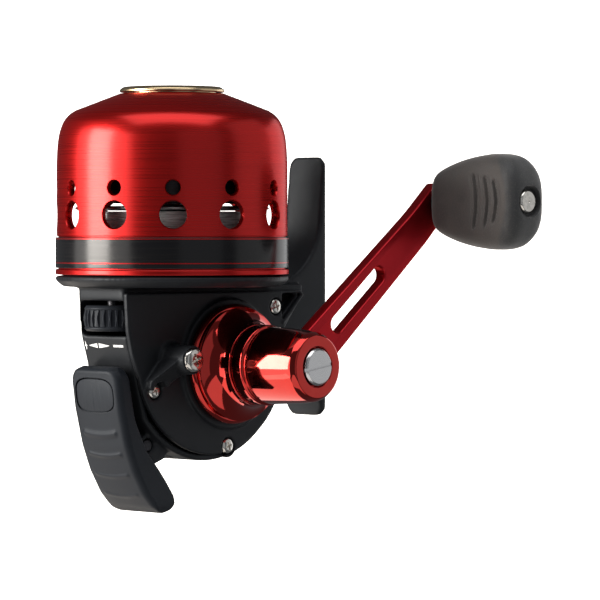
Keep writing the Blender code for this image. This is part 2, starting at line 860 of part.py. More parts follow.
def make_crank_shaft():
    profile = [
        (1.25, SHAFT_OUTER_END),
        (SHAFT_RADIUS, SHAFT_OUTER_END),
        (SHAFT_RADIUS, SHAFT_INNER_END),
        (0, SHAFT_INNER_END),
        (0, SHAFT_OUTER_END - 8),
        (1.25, SHAFT_OUTER_END - 8),
    ]
    shaft = turned("crank_shaft", profile, on_crank_axis(), CRANKWARD, 20, ring=True)
    return finish_piece(shaft, steel())


def make_crank_hub():
    profile = [
        (5.0, HUB_END),
        (7.6, HUB_END),
        (8.5, 40.3),
        (8.9, 38.0),
        (9.6, 26.4),
        (9.2, 26.1),
        (9.2, 25.2),
        (10.0, 24.9),
        (10.0, HUB_START),
        (2.75, HUB_START),
        (2.75, 39.2),
        (5.0, 39.2),
    ]
    hub = turned("crank_hub", profile, on_crank_axis(), CRANKWARD, ROUND_STEPS, ring=True)
    half = ARM_HALF_WIDTH_HUB + GAP
    slot = [(0, -half), (14, -half), (14, half), (0, half)] + arc((0, 0), half, 90, 270, 8)[1:-1]
    low = ARM_FRONT - ARM_THICKNESS - GAP
    slot_cut = prism("arm_slot", slot, on_crank_axis(), along_arm(CRANKWARD), low, ARM_FRONT + GAP)
    cut(hub, slot_cut)
    return finish_piece(hub, red_chrome())


def arm_plan():
    """The arm from the crank side, with its X from the crank's axis to the knob's."""
    hub_end = arc((0, 0), ARM_HALF_WIDTH_HUB, 90, 270, 10)
    tip = arc((CRANK_LENGTH, 0), ARM_END_RADIUS, -65, 65, 10)
    return hub_end + [(58.0, -ARM_HALF_WIDTH_TIP)] + tip + [(58.0, ARM_HALF_WIDTH_TIP)]


def arm_slot_plan():
    half = 2.2
    return arc((35.0, 0.2), half, 90, -90, 6) + arc((16.0, 0.2), half, -90, -270, 6)


def arm_section():
    """The arm edge on: flat, then bent a little toward the reel near the knob."""
    front, back = ARM_FRONT, ARM_FRONT - ARM_THICKNESS
    end = CRANK_LENGTH + 8
    drop = ARM_BEND_DROP * (end - ARM_BEND_START) / (CRANK_LENGTH - ARM_BEND_START)
    return [
        (-8, back),
        (ARM_BEND_START, back),
        (end, back - drop),
        (end, front - drop),
        (ARM_BEND_START, front),
        (-8, front),
    ]


def make_crank_arm():
    arm = prism(
        "crank_arm", arm_plan(), on_crank_axis(), along_arm(CRANKWARD), 25, 45, holes=(arm_slot_plan(),)
    )
    lie = along_arm(CRANKWARD) @ Matrix.Rotation(math.radians(90), 4, "X")
    keep_inside(arm, prism("arm_section", arm_section(), on_crank_axis(), lie, -12, 12))
    cut(arm, cylinder("arm_shaft_hole", 2.75, 20, 50, on_crank_axis(), CRANKWARD, 20))
    x, u = knob_centre()
    cut(arm, cylinder("arm_pin_hole", KNOB_PIN_RADIUS + GAP, 20, 50, place(x, 0, u), CRANKWARD, 16))
    return finish_piece(arm, red_anodised())


def make_handle_screw():
    profile = [
        (0, 42.2),
        (4.0, 42.2),
        (4.6, 41.7),
        (4.6, 39.6),
        (0.95, 39.6),
        (0.95, SHAFT_OUTER_END - 7),
        (0, SHAFT_OUTER_END - 7),
    ]
    screw = turned("handle_screw", profile, on_crank_axis(), CRANKWARD, 24)
    slot = block("handle_screw_slot", (-6, 41.5, -0.35), (6, 45, 0.35))
    tilt = Matrix.Rotation(math.radians(81), 4, "Y")
    slot.matrix_world = Matrix.Translation(place(CRANK_X, 43.25, CRANK_U)) @ tilt
    cut(screw, slot)
    return finish_piece(screw, steel())


def knob_plan():
    """The paddle from above, as x and a: a narrow inner end and a round outer end."""
    x, _ = knob_centre()
    half = [(7.6, 38.3), (9.3, 42.0), (10.8, 47.0), (11.8, 52.5), (12.05, 57.5), (11.3, 61.5), (8.6, 64.6)]
    near = [(x + wide, a) for wide, a in half]
    far = [(x - wide, a) for wide, a in reversed(half)]
    inner, outer = KNOB_START, KNOB_END
    return [(x + 5.6, inner)] + near + [(x + 3.6, outer), (x - 3.6, outer)] + far + [(x - 5.6, inner)]


def knob_section(low, high, corner):
    """The paddle's thickness with rounded corners, across a width that runs from low to high."""
    half = KNOB_THICKNESS / 2 - corner
    spots = ((high - corner, half), (low + corner, half), (low + corner, -half), (high - corner, -half))
    outline = []
    for index, spot in enumerate(spots):
        outline += arc(spot, corner, 90 * index, 90 * index + 90, 4)
    return outline


def make_knob():
    """The paddle: its plan, kept inside a rounded section from the front and one from the side."""
    x, u = knob_centre()
    middle = place(x, 0, u)
    half = KNOB_THICKNESS / 2 + 1
    knob = prism("knob", knob_plan(), on_axis(), DOWNWARD, -u - half, -u + half)
    keep_inside(knob, prism("knob_front", knob_section(-12.4, 12.4, 3.6), middle, CRANKWARD, 30, 70))
    sideways = FORWARD @ Matrix.Rotation(math.radians(-90), 4, "Z")
    side = knob_section(KNOB_START, KNOB_END, 2.9)
    keep_inside(knob, prism("knob_side", side, middle, sideways, -16, 16))
    cut(knob, cylinder("knob_bore", KNOB_PIN_RADIUS + GAP, 30, 70, middle, CRANKWARD, 16))
    cut(knob, cylinder("knob_recess", 3.9, KNOB_END - 1.6, 70, middle, CRANKWARD, 20))
    return finish_piece(knob, soft_rubber())


def make_knob_pin():
    x, u = knob_centre()
    back = ARM_FRONT - ARM_THICKNESS - ARM_BEND_DROP - 0.85
    profile = [
        (0, 65.9),
        (2.6, 65.8),
        (2.95, 65.4),
        (2.95, 65.0),
        (KNOB_PIN_RADIUS, 65.0),
        (KNOB_PIN_RADIUS, back - 0.3),
        (2.8, back - 0.3),
        (2.5, back - 1.3),
        (0, back - 1.3),
    ]
    pin = turned("knob_pin", profile, place(x, 0, u), CRANKWARD, 20)
    return finish_piece(pin, steel())


def make_knob_spacer():
    x, u = knob_centre()
    profile = tube_profile(KNOB_PIN_RADIUS + GAP, 3.9, 36.2, KNOB_START - GAP)
    spacer = turned("knob_spacer", profile, place(x, 0, u), CRANKWARD, 20, ring=True)
    return finish_piece(spacer, black_plastic())


# Thumb lever


def lever_side():
    """The lever's side view: the top face from its front end back, then the underside forward again."""
    top = [(-18.8, 26.1), (-19.8, 27.4), (-29.0, 26.1), (-38.5, 23.7), (-44.8, 21.1)]
    tail = [(-50.6, 17.6), (-54.0, 14.3), (-55.6, 10.4), (-54.6, 8.0), (-52.8, 7.2), (-51.0, 7.7)]
    under = [(-47.5, 10.2), (-44.0, 13.0), (-39.9, 16.7), (-31.9, 20.7), (-22.3, 22.6), (-19.0, 23.2)]
    return top + tail + under


def lever_hollow():
    """The channel under the lever, which leaves the top and the side skirts."""
    ceiling = [(-21.5, 24.2), (-29.0, 23.4), (-38.5, 20.9), (-44.0, 18.4), (-47.0, 16.2)]
    return [(-21.5, 10.0)] + ceiling + [(-47.0, 5.0)]


def lever_finger():
    """The web that carries the pin's bore, and the finger that reaches down behind the thrust cap."""
    middle = THRUST_REAR - 1.7
    front = [(-35.2, 23.0), (-35.6, 13.0), (-36.4, 9.0)]
    nose = arc((middle, 0.0), 1.3, -10, -170, 4)
    back = [(-40.4, 9.0), (-41.4, 13.0), (-42.2, 20.4)]
    return front + nose + back


def lever_plan():
    """The lever from above, with its front corners rounded."""
    front, rear, corner = -18.6, -56.0, 4.2
    side = LEVER_HALF_WIDTH
    near = arc((front - corner, side - corner), corner, 0, 90, 4)
    far = arc((front - corner, corner - side), corner, 270, 360, 4)
    return near + [(rear, side), (rear, -side)] + far


def make_thumb_lever():
    side = LEVER_HALF_WIDTH
    lever = side_prism("thumb_lever", lever_side(), -side - 1, side + 1)
    keep_inside(lever, prism("lever_plan", lever_plan(), on_axis(), UPWARD, 0, 40))
    cut(lever, side_prism("lever_hollow", lever_hollow(), -LEVER_HOLLOW_HALF, LEVER_HOLLOW_HALF))
    join(lever, side_prism("lever_finger", lever_finger(), -2.4, 2.4))
    cut(lever, cylinder("lever_pin_bore", LEVER_BORE_RADIUS, -5, 5, lever_axis(), CRANKWARD, 16))
    cut(lever, prism("pad_recess", pad_outline(GAP), on_axis(), UPWARD, PAD_FLOOR, 40))
    return finish_piece(lever, black_plastic())


def pad_outline(grown=0.0):
    """The inset pad from above: a rounded oblong near the lever's front end."""
    corner = 3.0 + grown
    outline = []
    for x, a, start in ((-24.8, 3.7, 0), (-27.2, 3.7, 90), (-27.2, -3.7, 180), (-24.8, -3.7, 270)):
        outline += arc((x, a), corner, start, start + 90, 4)
    return outline


def make_lever_pad():
    """A plate that lies in the lever's recess, its top on the same slope as the lever's."""
    pad = prism("lever_pad", pad_outline(), on_axis(), UPWARD, PAD_FLOOR + GAP, 40)
    side = [(-32.0, 20.0), (-20.0, 20.0), (-20.0, 27.3), (-29.0, 26.0), (-32.0, 25.2)]
    keep_inside(pad, side_prism("pad_slope", side, -8.0, 8.0))
    return finish_piece(pad, black_plastic())


def make_lever_pin():
    pin = turned("lever_pin", rod_profile(1.45, -6.5, 6.5), lever_axis(), CRANKWARD, 14)
    return finish_piece(pin, steel())


# Drag


def wheel_outline():
    """The knurled rim: 27 ribs with narrow grooves between them."""
    ribs = 27
    groove = WHEEL_RADIUS - 0.5
    outline = []
    for rib in range(ribs):
        start = 360 * rib / ribs
        for radius, offset in ((groove, 0.5), (WHEEL_RADIUS, 2.6), (WHEEL_RADIUS, 8.0), (groove, 10.2)):
            turn = math.radians(start + offset)
            outline.append((radius * math.cos(turn), radius * math.sin(turn)))
    return outline


def make_drag_wheel():
    bore = arc((0, 0), WHEEL_BORE_RADIUS, 360, 0, 12)[:-1]
    wheel = prism(
        "drag_wheel", wheel_outline(), wheel_axis(), FORWARD, WHEEL_REAR, WHEEL_FRONT, holes=(bore,)
    )
    return finish_piece(wheel, black_plastic())


def make_drag_screw():
    screw = turned("drag_screw", rod_profile(1.6, WHEEL_REAR + 0.2, 3.2), wheel_axis(), FORWARD, 16)
    return finish_piece(screw, steel())


def carry(name, point, pieces):
    """Parents the pieces that move together to an empty on their joint's axis, and returns the empty."""
    axis = bpy.data.objects.new(name, None)
    axis.location = point
    parts.objects.link(axis)
    for piece in pieces:
        piece.parent = axis
        piece.matrix_parent_inverse = Matrix.Translation(-point)
    return axis


def build_frame():
    make_frame_body()
    make_side_plate()
    for name, (x, u) in PLATE_SCREWS.items():
        make_screw(name, x, u, 1.9, 9.6, 10.5, 3.4)
    make_screw("post_screw", POST_X, POST_U, 3.05, POST_TOP - 0.6, POST_TOP + 1.0, 3.4)
    make_front_cover()
    make_cover_band()
    make_nozzle_ring()
    make_ring("drag_plate", 6.9, 23.0, 3.5, 4.5, steel())
    make_spool_clip()
    make_ring("pinion_bushing_rear", 3.3, 4.6, 0.6, 4.6, brass(), 20)
    make_ring("pinion_bushing_front", 3.3, 4.6, 15.5, 19.5, brass(), 20)
    make_return_spring()
    make_crank_flange()
    make_crank_ring("crank_bushing_outer", SHAFT_RADIUS + GAP, 6.0, 12.2, 17.9, brass())
    make_crank_ring("crank_bushing_inner", SHAFT_RADIUS + GAP, 4.0, -7.2, -4.6, brass())
    make_pawl_pin()
    make_lever_pin()


def build_moving_pieces():
    """Each group that moves hangs from an empty on its joint's axis."""
    washer = make_ring("drag_washer", 8.0, 22.0, 4.8, 5.9, white_nylon())
    carry("spool_axis", on_axis(), [make_spool(), make_line_winding(), washer])
    carry("drag_axis", wheel_axis(), [make_drag_wheel(), make_drag_screw()])
    carry("pinion_axis", on_axis(), [make_pinion_gear()])

    head = [make_centre_shaft(), make_spinner_head(), make_rim_ring(), make_spinner_nut()]
    pins = [make_pickup_pin("pickup_pin_near", 1), make_pickup_pin("pickup_pin_far", -1)]
    spinner = carry("spinner_axis", on_axis(), head + pins)
    carry("shaft_slide", on_axis(), [make_thrust_cap(), spinner])

    clip = make_crank_ring("gear_clip", SHAFT_RADIUS + GAP, 4.4, 6.4, 7.1, steel(), 20)
    gears = [make_drive_gear(), make_ratchet_wheel(), clip]
    handle = [make_crank_shaft(), make_crank_hub(), make_crank_arm(), make_handle_screw()]
    knob_x, knob_u = knob_centre()
    knob = carry("knob_axis", place(knob_x, 0, knob_u), [make_knob()])
    pin = [make_knob_pin(), make_knob_spacer()]
    carry("crank_axis", on_crank_axis(), gears + handle + pin + [knob])

    carry("lever_axis", lever_axis(), [make_thumb_lever(), make_lever_pad()])
    carry("pawl_axis", place(PAWL_X, 0, PAWL_U), [make_pawl()])


def build():
    start_scene()
    build_frame()
    build_moving_pieces()


build()
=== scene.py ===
import math

import bmesh
import bpy
from mathutils import Matrix, Vector


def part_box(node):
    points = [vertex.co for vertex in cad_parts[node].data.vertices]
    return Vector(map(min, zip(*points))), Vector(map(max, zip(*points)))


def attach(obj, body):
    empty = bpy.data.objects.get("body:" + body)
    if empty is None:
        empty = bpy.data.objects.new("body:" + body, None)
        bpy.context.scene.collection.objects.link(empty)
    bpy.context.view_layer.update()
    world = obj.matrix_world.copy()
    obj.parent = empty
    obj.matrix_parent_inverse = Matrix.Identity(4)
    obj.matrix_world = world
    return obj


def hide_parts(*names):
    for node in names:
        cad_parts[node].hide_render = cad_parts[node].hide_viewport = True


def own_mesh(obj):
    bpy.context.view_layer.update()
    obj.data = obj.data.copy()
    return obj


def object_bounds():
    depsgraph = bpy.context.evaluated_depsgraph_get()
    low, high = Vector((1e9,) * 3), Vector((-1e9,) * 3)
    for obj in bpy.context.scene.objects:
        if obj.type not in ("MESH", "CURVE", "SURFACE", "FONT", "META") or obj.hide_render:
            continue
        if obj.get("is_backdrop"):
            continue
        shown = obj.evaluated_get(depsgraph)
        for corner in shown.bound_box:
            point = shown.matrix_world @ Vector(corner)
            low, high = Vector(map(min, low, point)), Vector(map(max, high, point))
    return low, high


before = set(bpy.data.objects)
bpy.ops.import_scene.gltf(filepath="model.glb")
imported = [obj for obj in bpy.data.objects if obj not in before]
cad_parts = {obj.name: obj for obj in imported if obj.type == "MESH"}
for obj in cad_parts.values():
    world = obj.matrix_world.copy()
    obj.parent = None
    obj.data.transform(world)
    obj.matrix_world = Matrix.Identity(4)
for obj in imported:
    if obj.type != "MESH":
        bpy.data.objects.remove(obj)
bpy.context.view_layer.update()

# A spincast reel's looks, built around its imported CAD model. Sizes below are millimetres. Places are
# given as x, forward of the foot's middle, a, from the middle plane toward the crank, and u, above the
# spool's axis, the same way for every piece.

MM = 0.001


def extent(node):
    """The node's lowest and highest corner at rest, in millimetres."""
    low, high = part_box(node)
    return low / MM, high / MM


def centre_of(node):
    """The node's middle as x and u."""
    low, high = extent(node)
    return (low.x + high.x) / 2, (low.z + high.z) / 2 - AXIS_HEIGHT


def across_reel(node):
    """The radius of a node that lies across the reel, and the a of its near and its far end."""
    low, high = extent(node)
    return (high.x - low.x) / 2, -low.y, -high.y


# Driving places, read from the frame

cover_low, cover_high = extent("front_cover")
AXIS_HEIGHT = (cover_low.z + cover_high.z) / 2
RIM_RADIUS = (cover_high.z - cover_low.z) / 2
COVER_REAR, COVER_NOSE = cover_low.x, cover_high.x
BAND_SEAT_RADIUS = RIM_RADIUS - 0.7
COVER_RADIUS = RIM_RADIUS - 0.3
DECK_REAR = COVER_REAR - 3.0
BAND_REAR, BAND_FRONT = (corner.x for corner in extent("cover_band"))
nozzle_low, nozzle_high = extent("nozzle_ring")
NOZZLE_REAR, NOZZLE_FRONT = nozzle_low.x, nozzle_high.x
NOZZLE_RADIUS = (nozzle_high.z - nozzle_low.z) / 2
FOOT_HALF = extent("frame_body")[1].x

CRANK_X, CRANK_U = centre_of("crank_hub")
HUB_END, HUB_START = across_reel("crank_hub")[1:]
KNOB_X, KNOB_U = centre_of("knob")
KNOB_HALF_WIDTH, KNOB_END, KNOB_START = across_reel("knob")
KNOB_HALF_THICKNESS = (extent("knob")[1].z - extent("knob")[0].z) / 2
CRANK_LENGTH = math.hypot(KNOB_X - CRANK_X, KNOB_U - CRANK_U)
CRANK_ANGLE = math.atan2(KNOB_X - CRANK_X, CRANK_U - KNOB_U)
ARM_FRONT = across_reel("crank_arm")[1]
ARM_THICKNESS = 3.4
ARM_HALF_WIDTH_HUB = 5.75
ARM_HALF_WIDTH_TIP = 4.4
ARM_END_RADIUS = 4.8
ARM_BEND_START = 54.0
ARM_BEND_DROP = 0.9
ARM_BEND_SOFT = 2.0

POST_TOP, PLATE_INNER = across_reel("side_plate")[1:]
PLATE_OUTER = PLATE_INNER + 1.5
PLATE_CENTRE = (-15.6, -4.6)
PLATE_RADIUS = 25.8
PLATE_SCREWS = ("plate_screw_front", "plate_screw_rear", "plate_screw_top")
POST = centre_of("post_screw")
SEAT_OUTER = across_reel("crank_flange")[2] - 0.3
SEAT_RADIUS = 16.2
CASE_FAR, CASE_NEAR = -8.3, PLATE_INNER - 0.3
CASE_CENTRE = (-15.4, -4.4)

wheel_low, wheel_high = extent("drag_wheel")
WHEEL_REAR, WHEEL_FRONT = wheel_low.x, wheel_high.x
WHEEL_U = centre_of("drag_wheel")[1]
WHEEL_RADIUS = (wheel_high.z - wheel_low.z) / 2
LEVER_X, LEVER_U = centre_of("lever_pin")
LEVER_FRONT, LEVER_HALF_WIDTH = extent("thumb_lever")[1].xy


def place(x, a, u):
    """The world point x forward, a toward the crank and u above the spool's axis."""
    return Vector((x, -a, AXIS_HEIGHT + u)) * MM


ON_AXIS = place(0, 0, 0)
ON_CRANK = place(CRANK_X, 0, CRANK_U)
ON_KNOB = place(KNOB_X, 0, KNOB_U)
ON_LEVER_PIN = place(LEVER_X, 0, LEVER_U)
ON_WHEEL = place(0, 0, WHEEL_U)
FORWARD = Matrix.Rotation(math.radians(90), 4, "Y")
CRANKWARD = Matrix.Rotation(math.radians(90), 4, "X")
DOWNWARD = Matrix.Rotation(math.radians(180), 4, "X")
UPWARD = Matrix.Identity(4)
ALONG_ARM = CRANKWARD @ Matrix.Rotation(CRANK_ANGLE - math.radians(90), 4, "Z")


# Shapes


def add_object(name, data, matrix=None):
    made = bpy.data.objects.new(name, data)
    bpy.context.scene.collection.objects.link(made)
    if matrix is not None:
        made.matrix_world = matrix
    return made


def applied(obj):
    """The object with its modifiers made part of its mesh, which keeps its own place."""
    graph = bpy.context.evaluated_depsgraph_get()
    mesh = bpy.data.meshes.new_from_object(obj.evaluated_get(graph))
    obj.modifiers.clear()
    obj.data = mesh
    return obj


def arc(centre, radius, start, end, count):
    """Points along an arc, in degrees anticlockwise from the first axis."""
    turns = [math.radians(start + (end - start) * step / count) for step in range(count + 1)]
    return [(centre[0] + radius * math.cos(t), centre[1] + radius * math.sin(t)) for t in turns]


def corner_arc(before, corner, after, radius, steps):
    into = (corner - before).normalized()
    out = (after - corner).normalized()
    turn = into.angle(out, 0.0)
    if turn < math.radians(4):
        return [corner]
    reach = min(radius * math.tan(turn / 2), 0.49 * min((corner - before).length, (after - corner).length))
    side = 1 if into.cross(out) > 0 else -1
    centre = corner - into * reach + Vector((-into.y, into.x)) * side * reach / math.tan(turn / 2)
    spoke = corner - into * reach - centre
    count = max(2, round(steps * turn / math.radians(90)))
    return [centre + Matrix.Rotation(side * turn * step / count, 2) @ spoke for step in range(count + 1)]


def rounded(points, radius, steps=6, closed=True):
    """The outline with each corner turned into an arc. A point may give its own radius third."""
    spots = [Vector(point[:2]) for point in points]
    made = []
    for index, spot in enumerate(spots):
        if not closed and index in (0, len(spots) - 1):
            made.append(spot)
            continue
        own = points[index][2] if len(points[index]) > 2 else radius
        after = spots[(index + 1) % len(spots)]
        made += corner_arc(spots[index - 1], spot, after, own, steps) if own else [spot]
    return [tuple(spot) for spot in made]


def smooth_line(points, per_span=6):
    """A smooth curve through the points, a Catmull-Rom spline that keeps both ends."""
    spots = [Vector(point) for point in points]
    spots = [2 * spots[0] - spots[1]] + spots + [2 * spots[-1] - spots[-2]]
    made = []
    for before, start, end, after in zip(spots, spots[1:], spots[2:], spots[3:]):
        for step in range(per_span):
            t = step / per_span
            made.append(
                start
                + (end - before) * (t / 2)
                + (2 * before - 5 * start + 4 * end - after) * (t * t / 2)
                + (3 * start - before - 3 * end + after) * (t**3 / 2)
            )
    return [tuple(spot) for spot in made] + [tuple(spots[-2])]


def turned(name, profile, point, facing, steps, corner=0.0, arc_steps=0):
    """A turned piece from (radius, distance along the axis) points that run down its outer side.

    A profile that starts on the axis stays open there, and any other is closed into a ring. With
    arc_steps, its corners are rounded.
    """
    ring = profile[0][0] > 0
    if arc_steps:
        profile = rounded(profile, corner, arc_steps, ring)
    mesh = bpy.data.meshes.new(name)
    count = len(profile)
    edges = [(index, (index + 1) % count) for index in range(count if ring else count - 1)]
    mesh.from_pydata([(radius * MM, 0, height * MM) for radius, height in profile], edges, [])
    made = add_object(name, mesh, Matrix.Translation(point) @ facing)
    screw = made.modifiers.new("turn", "SCREW")
    screw.steps = screw.render_steps = steps
    screw.use_merge_vertices = True
    screw.merge_threshold = 0.000005
    screw.use_smooth_shade = True
    return applied(made)


def mesh_of(curve):
    """The curve's evaluated shape as a mesh."""
    guide = add_object(curve.name, curve)
    graph = bpy.context.evaluated_depsgraph_get()
    mesh = bpy.data.meshes.new_from_object(guide.evaluated_get(graph))
    bpy.data.objects.remove(guide)
    return mesh


def prism(name, outline, point, facing, low, high, holes=(), edge=0.0):
    """A flat outline in the object's own XY plane, solid from low to high, with rounded edges."""
    curve = bpy.data.curves.new(name, "CURVE")
    curve.dimensions = "2D"
    curve.fill_mode = "BOTH"
    curve.extrude = ((high - low) / 2 - edge) * MM
    if edge:
        curve.bevel_depth = edge * MM
        curve.bevel_resolution = 2
        curve.offset = -edge * MM
    for points in (outline, *holes):
        spline = curve.splines.new("POLY")
        spline.points.add(len(points) - 1)
        for spot, (across, along) in zip(spline.points, points):
            spot.co = (across * MM, along * MM, 0, 1)
        spline.use_cyclic_u = True
    mesh = mesh_of(curve)
    solid = bmesh.new()
    solid.from_mesh(mesh)
    bmesh.ops.remove_doubles(solid, verts=solid.verts, dist=0.000001)
    bmesh.ops.recalc_face_normals(solid, faces=solid.faces)
    bmesh.ops.translate(solid, vec=(0, 0, (low + high) / 2 * MM), verts=solid.verts)
    solid.to_mesh(mesh)
    solid.free()
    return add_object(name, mesh, Matrix.Translation(point) @ facing)


def side_prism(name, outline, low, high, holes=(), edge=0.0):
    """A prism whose outline is (x, u) points of the side view."""
    return prism(name, outline, ON_AXIS, CRANKWARD, low, high, holes, edge)


def cylinder(name, radius, low, high, point, facing, sides=48):
    return prism(name, arc((0, 0), radius, 0, 360, sides)[:-1], point, facing, low, high)


def boolean(target, operation, others):
    """Joins, cuts or keeps what is inside, one operand after another, and removes the operands."""
    for other in others:
        modifier = target.modifiers.new(operation.lower(), "BOOLEAN")
        modifier.operation = operation
        modifier.solver = "EXACT"
        modifier.object = other
    bpy.context.view_layer.update()
    applied(target)
    for other in others:
        bpy.data.objects.remove(other)
    return target


def join(target, *others):
    return boolean(target, "UNION", others)


def cut(target, *others):
    return boolean(target, "DIFFERENCE", others)


def keep_inside(target, *others):
    return boolean(target, "INTERSECT", others)


def soften(obj, grain, passes):
    """Remeshes a moulded piece finely and smooths it, so that its edges are softly rounded."""
    remesh = obj.modifiers.new("remesh", "REMESH")
    remesh.mode = "VOXEL"
    remesh.voxel_size = grain * MM
    remesh.use_smooth_shade = True
    smooth = obj.modifiers.new("smooth", "SMOOTH")
    smooth.factor = 0.5
    smooth.iterations = passes
    return applied(obj)


def sliced(obj, axis, places):
    """Cuts new edges across the mesh at places along one of its own axes, so that it can bend there."""
    mesh = bmesh.new()
    mesh.from_mesh(obj.data)
    for spot in places:
        everything = [*mesh.verts, *mesh.edges, *mesh.faces]
        bmesh.ops.bisect_plane(mesh, geom=everything, plane_co=axis * spot * MM, plane_no=axis)
    mesh.to_mesh(obj.data)
    mesh.free()


def in_frame(obj):
    """Moves the object's place into its mesh, so that its own coordinates are the frame's."""
    bpy.context.view_layer.update()
    obj.data.transform(obj.matrix_world)
    obj.matrix_world = Matrix.Identity(4)
    return obj


def design(co):
    """A frame point in metres as (x, a, u) in millimetres."""
    return co.x / MM, -co.y / MM, co.z / MM - AXIS_HEIGHT


def show(obj, surface, body, nodes=(), angle=35):
    """Gives the finished piece its material and its body, and the nodes that it stands for."""
    in_frame(obj)
    obj.data.materials.clear()
    obj.data.materials.append(surface)
    obj.data.shade_smooth()
    obj.data.set_sharp_from_angle(angle=math.radians(angle))
    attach(obj, body)
    if nodes:
        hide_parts(*nodes)
    return obj


# Materials


class Surface:
    """A material being made: a Principled shader and short calls for the nodes that feed it."""

    def __init__(self, name, colour, roughness, metallic=0.0, **sockets):
        self.material = bpy.data.materials.new(name)
        self.material.use_nodes = True
        self.tree = self.material.node_tree
        self.shader = self.tree.nodes["Principled BSDF"]
        self.base = (*colour, 1.0)
        self.roughness = roughness
        self.feed(self.shader, {"Base Color": self.base, "Roughness": roughness, "Metallic": metallic})
        self.feed(self.shader, {socket.replace("_", " "): value for socket, value in sockets.items()})
        self.place = self.node("ShaderNodeTexCoord").outputs["Object"]
        self.normal = None

    def feed(self, node, inputs):
        """Links each input to the socket given for it, or sets it to the number or colour given."""
        for name, value in inputs.items():
            if isinstance(value, bpy.types.NodeSocket):
                self.tree.links.new(value, node.inputs[name])
            else:
                node.inputs[name].default_value = value

    def node(self, kind, inputs=None, **settings):
        made = self.tree.nodes.new(kind)
        for name, value in settings.items():
            setattr(made, name, value)
        self.feed(made, inputs or {})
        return made

    def noise(self, size, detail=2.0):
        """Noise whose features are size millimetres along each axis."""
        sizes = size if isinstance(size, tuple) else (size, size, size)
        scale = [1 / (MM * along) for along in sizes]
        point = self.node("ShaderNodeMapping", {"Vector": self.place, "Scale": scale}).outputs["Vector"]
        texture = self.node("ShaderNodeTexNoise", {"Vector": point, "Scale": 1.0, "Detail": detail})
        return texture.outputs["Fac"]

    def spread(self, value, low, high, start=0.3, end=0.7):
        """The value stretched so that start to end becomes low to high."""
        inputs = {"Value": value, "From Min": start, "From Max": end, "To Min": low, "To Max": high}
        return self.node("ShaderNodeMapRange", inputs, interpolation_type="SMOOTHSTEP").outputs["Result"]

    def along(self, axis):
        """One coordinate of the point, in millimetres."""
        split = self.node("ShaderNodeSeparateXYZ", {"Vector": self.place})
        return self.maths("MULTIPLY", split.outputs[axis], 1 / MM)

    def maths(self, operation, first, second):
        return self.node("ShaderNodeMath", {0: first, 1: second}, operation=operation).outputs["Value"]

    def squared(self, value):
        return self.maths("MULTIPLY", value, value)

    def vary_colour(self, value, other):
        """Mixes the base colour with another by a 0 to 1 value, on top of what varies it already."""
        mix = self.node("ShaderNodeMix", data_type="RGBA")
        self.feed(mix, {"A": self.base, "B": (*other, 1.0), "Factor": value})
        self.base = mix.outputs["Result"]
        self.feed(self.shader, {"Base Color": self.base})

    def vary_roughness(self, value, amount):
        """Spreads the roughness by amount either way of its base value."""
        low, high = self.roughness - amount, self.roughness + amount
        self.feed(self.shader, {"Roughness": self.spread(value, low, high)})

    def bump(self, height, depth, strength=1.0):
        """Adds relief whose full height is depth millimetres."""
        made = self.node("ShaderNodeBump", {"Distance": depth * MM, "Strength": strength, "Height": height})
        if self.normal is not None:
            self.feed(made, {"Normal": self.normal})
        self.normal = made.outputs["Normal"]
        self.feed(self.shader, {"Normal": self.normal})


def finish(
    name, colour, roughness, metallic=0.0, marks=None, other=None, share=(0.0, 1.0),
    uneven=0.0, relief=0.0, grain=None, **sockets
):
    """A surface with one main noise and perhaps a finer one.

    marks holds the main noise's size and detail. It mixes in the other colour by share, the limits for
    spread, makes the gloss uneven and gives relief. grain, for more relief, holds a size, a detail, a
    depth and perhaps a strength.
    """
    made = Surface(name, colour, roughness, metallic, **sockets)
    if marks:
        value = made.noise(*marks)
        if other:
            made.vary_colour(made.spread(value, *share), other)
        if uneven:
            made.vary_roughness(value, uneven)
        if relief:
            made.bump(value, relief)
    if grain:
        size, detail, *depth = grain
        made.bump(made.noise(size, detail), *depth)
    return made.material


def scaled(colour, factor):
    return tuple(factor * part for part in colour)


def black_plastic(name, colour, roughness):
    """Moulded plastic with a fine even grain and slightly uneven gloss."""
    return finish(
        name, colour, roughness, marks=(9.0, 3.0), other=scaled(colour, 1.45), share=(0.0, 0.45),
        uneven=0.05, grain=(0.16, 2.0, 0.006, 0.6),
        Specular_IOR_Level=0.16, Specular_Tint=(0.86, 0.93, 1.0, 1.0),
    )


def bare_metal(name, colour, roughness, size, depth):
    """A bare or plated metal whose marks are size millimetres along each axis."""
    return finish(
        name, colour, roughness, 1.0, (size, 3.0), scaled(colour, 0.72), (0.0, 0.6),
        uneven=roughness * 0.3, relief=depth,
    )


def faced_steel():
    """The crank bolt's end, with the concentric marks of facing."""
    made = Surface("faced_steel", (0.72, 0.72, 0.73), 0.24, 1.0)
    across = made.maths("SUBTRACT", made.along("X"), CRANK_X)
    along = made.maths("SUBTRACT", made.along("Z"), AXIS_HEIGHT + CRANK_U)
    square = made.maths("ADD", made.squared(across), made.squared(along))
    inputs = {"Scale": 5.0, "W": made.maths("SQRT", square, 0.0)}
    rings = made.node("ShaderNodeTexNoise", inputs, noise_dimensions="1D").outputs["Fac"]
    made.vary_colour(made.spread(rings, 0.0, 0.5), (0.5, 0.5, 0.51))
    made.vary_roughness(rings, 0.05)
    made.bump(rings, 0.006)
    return made.material


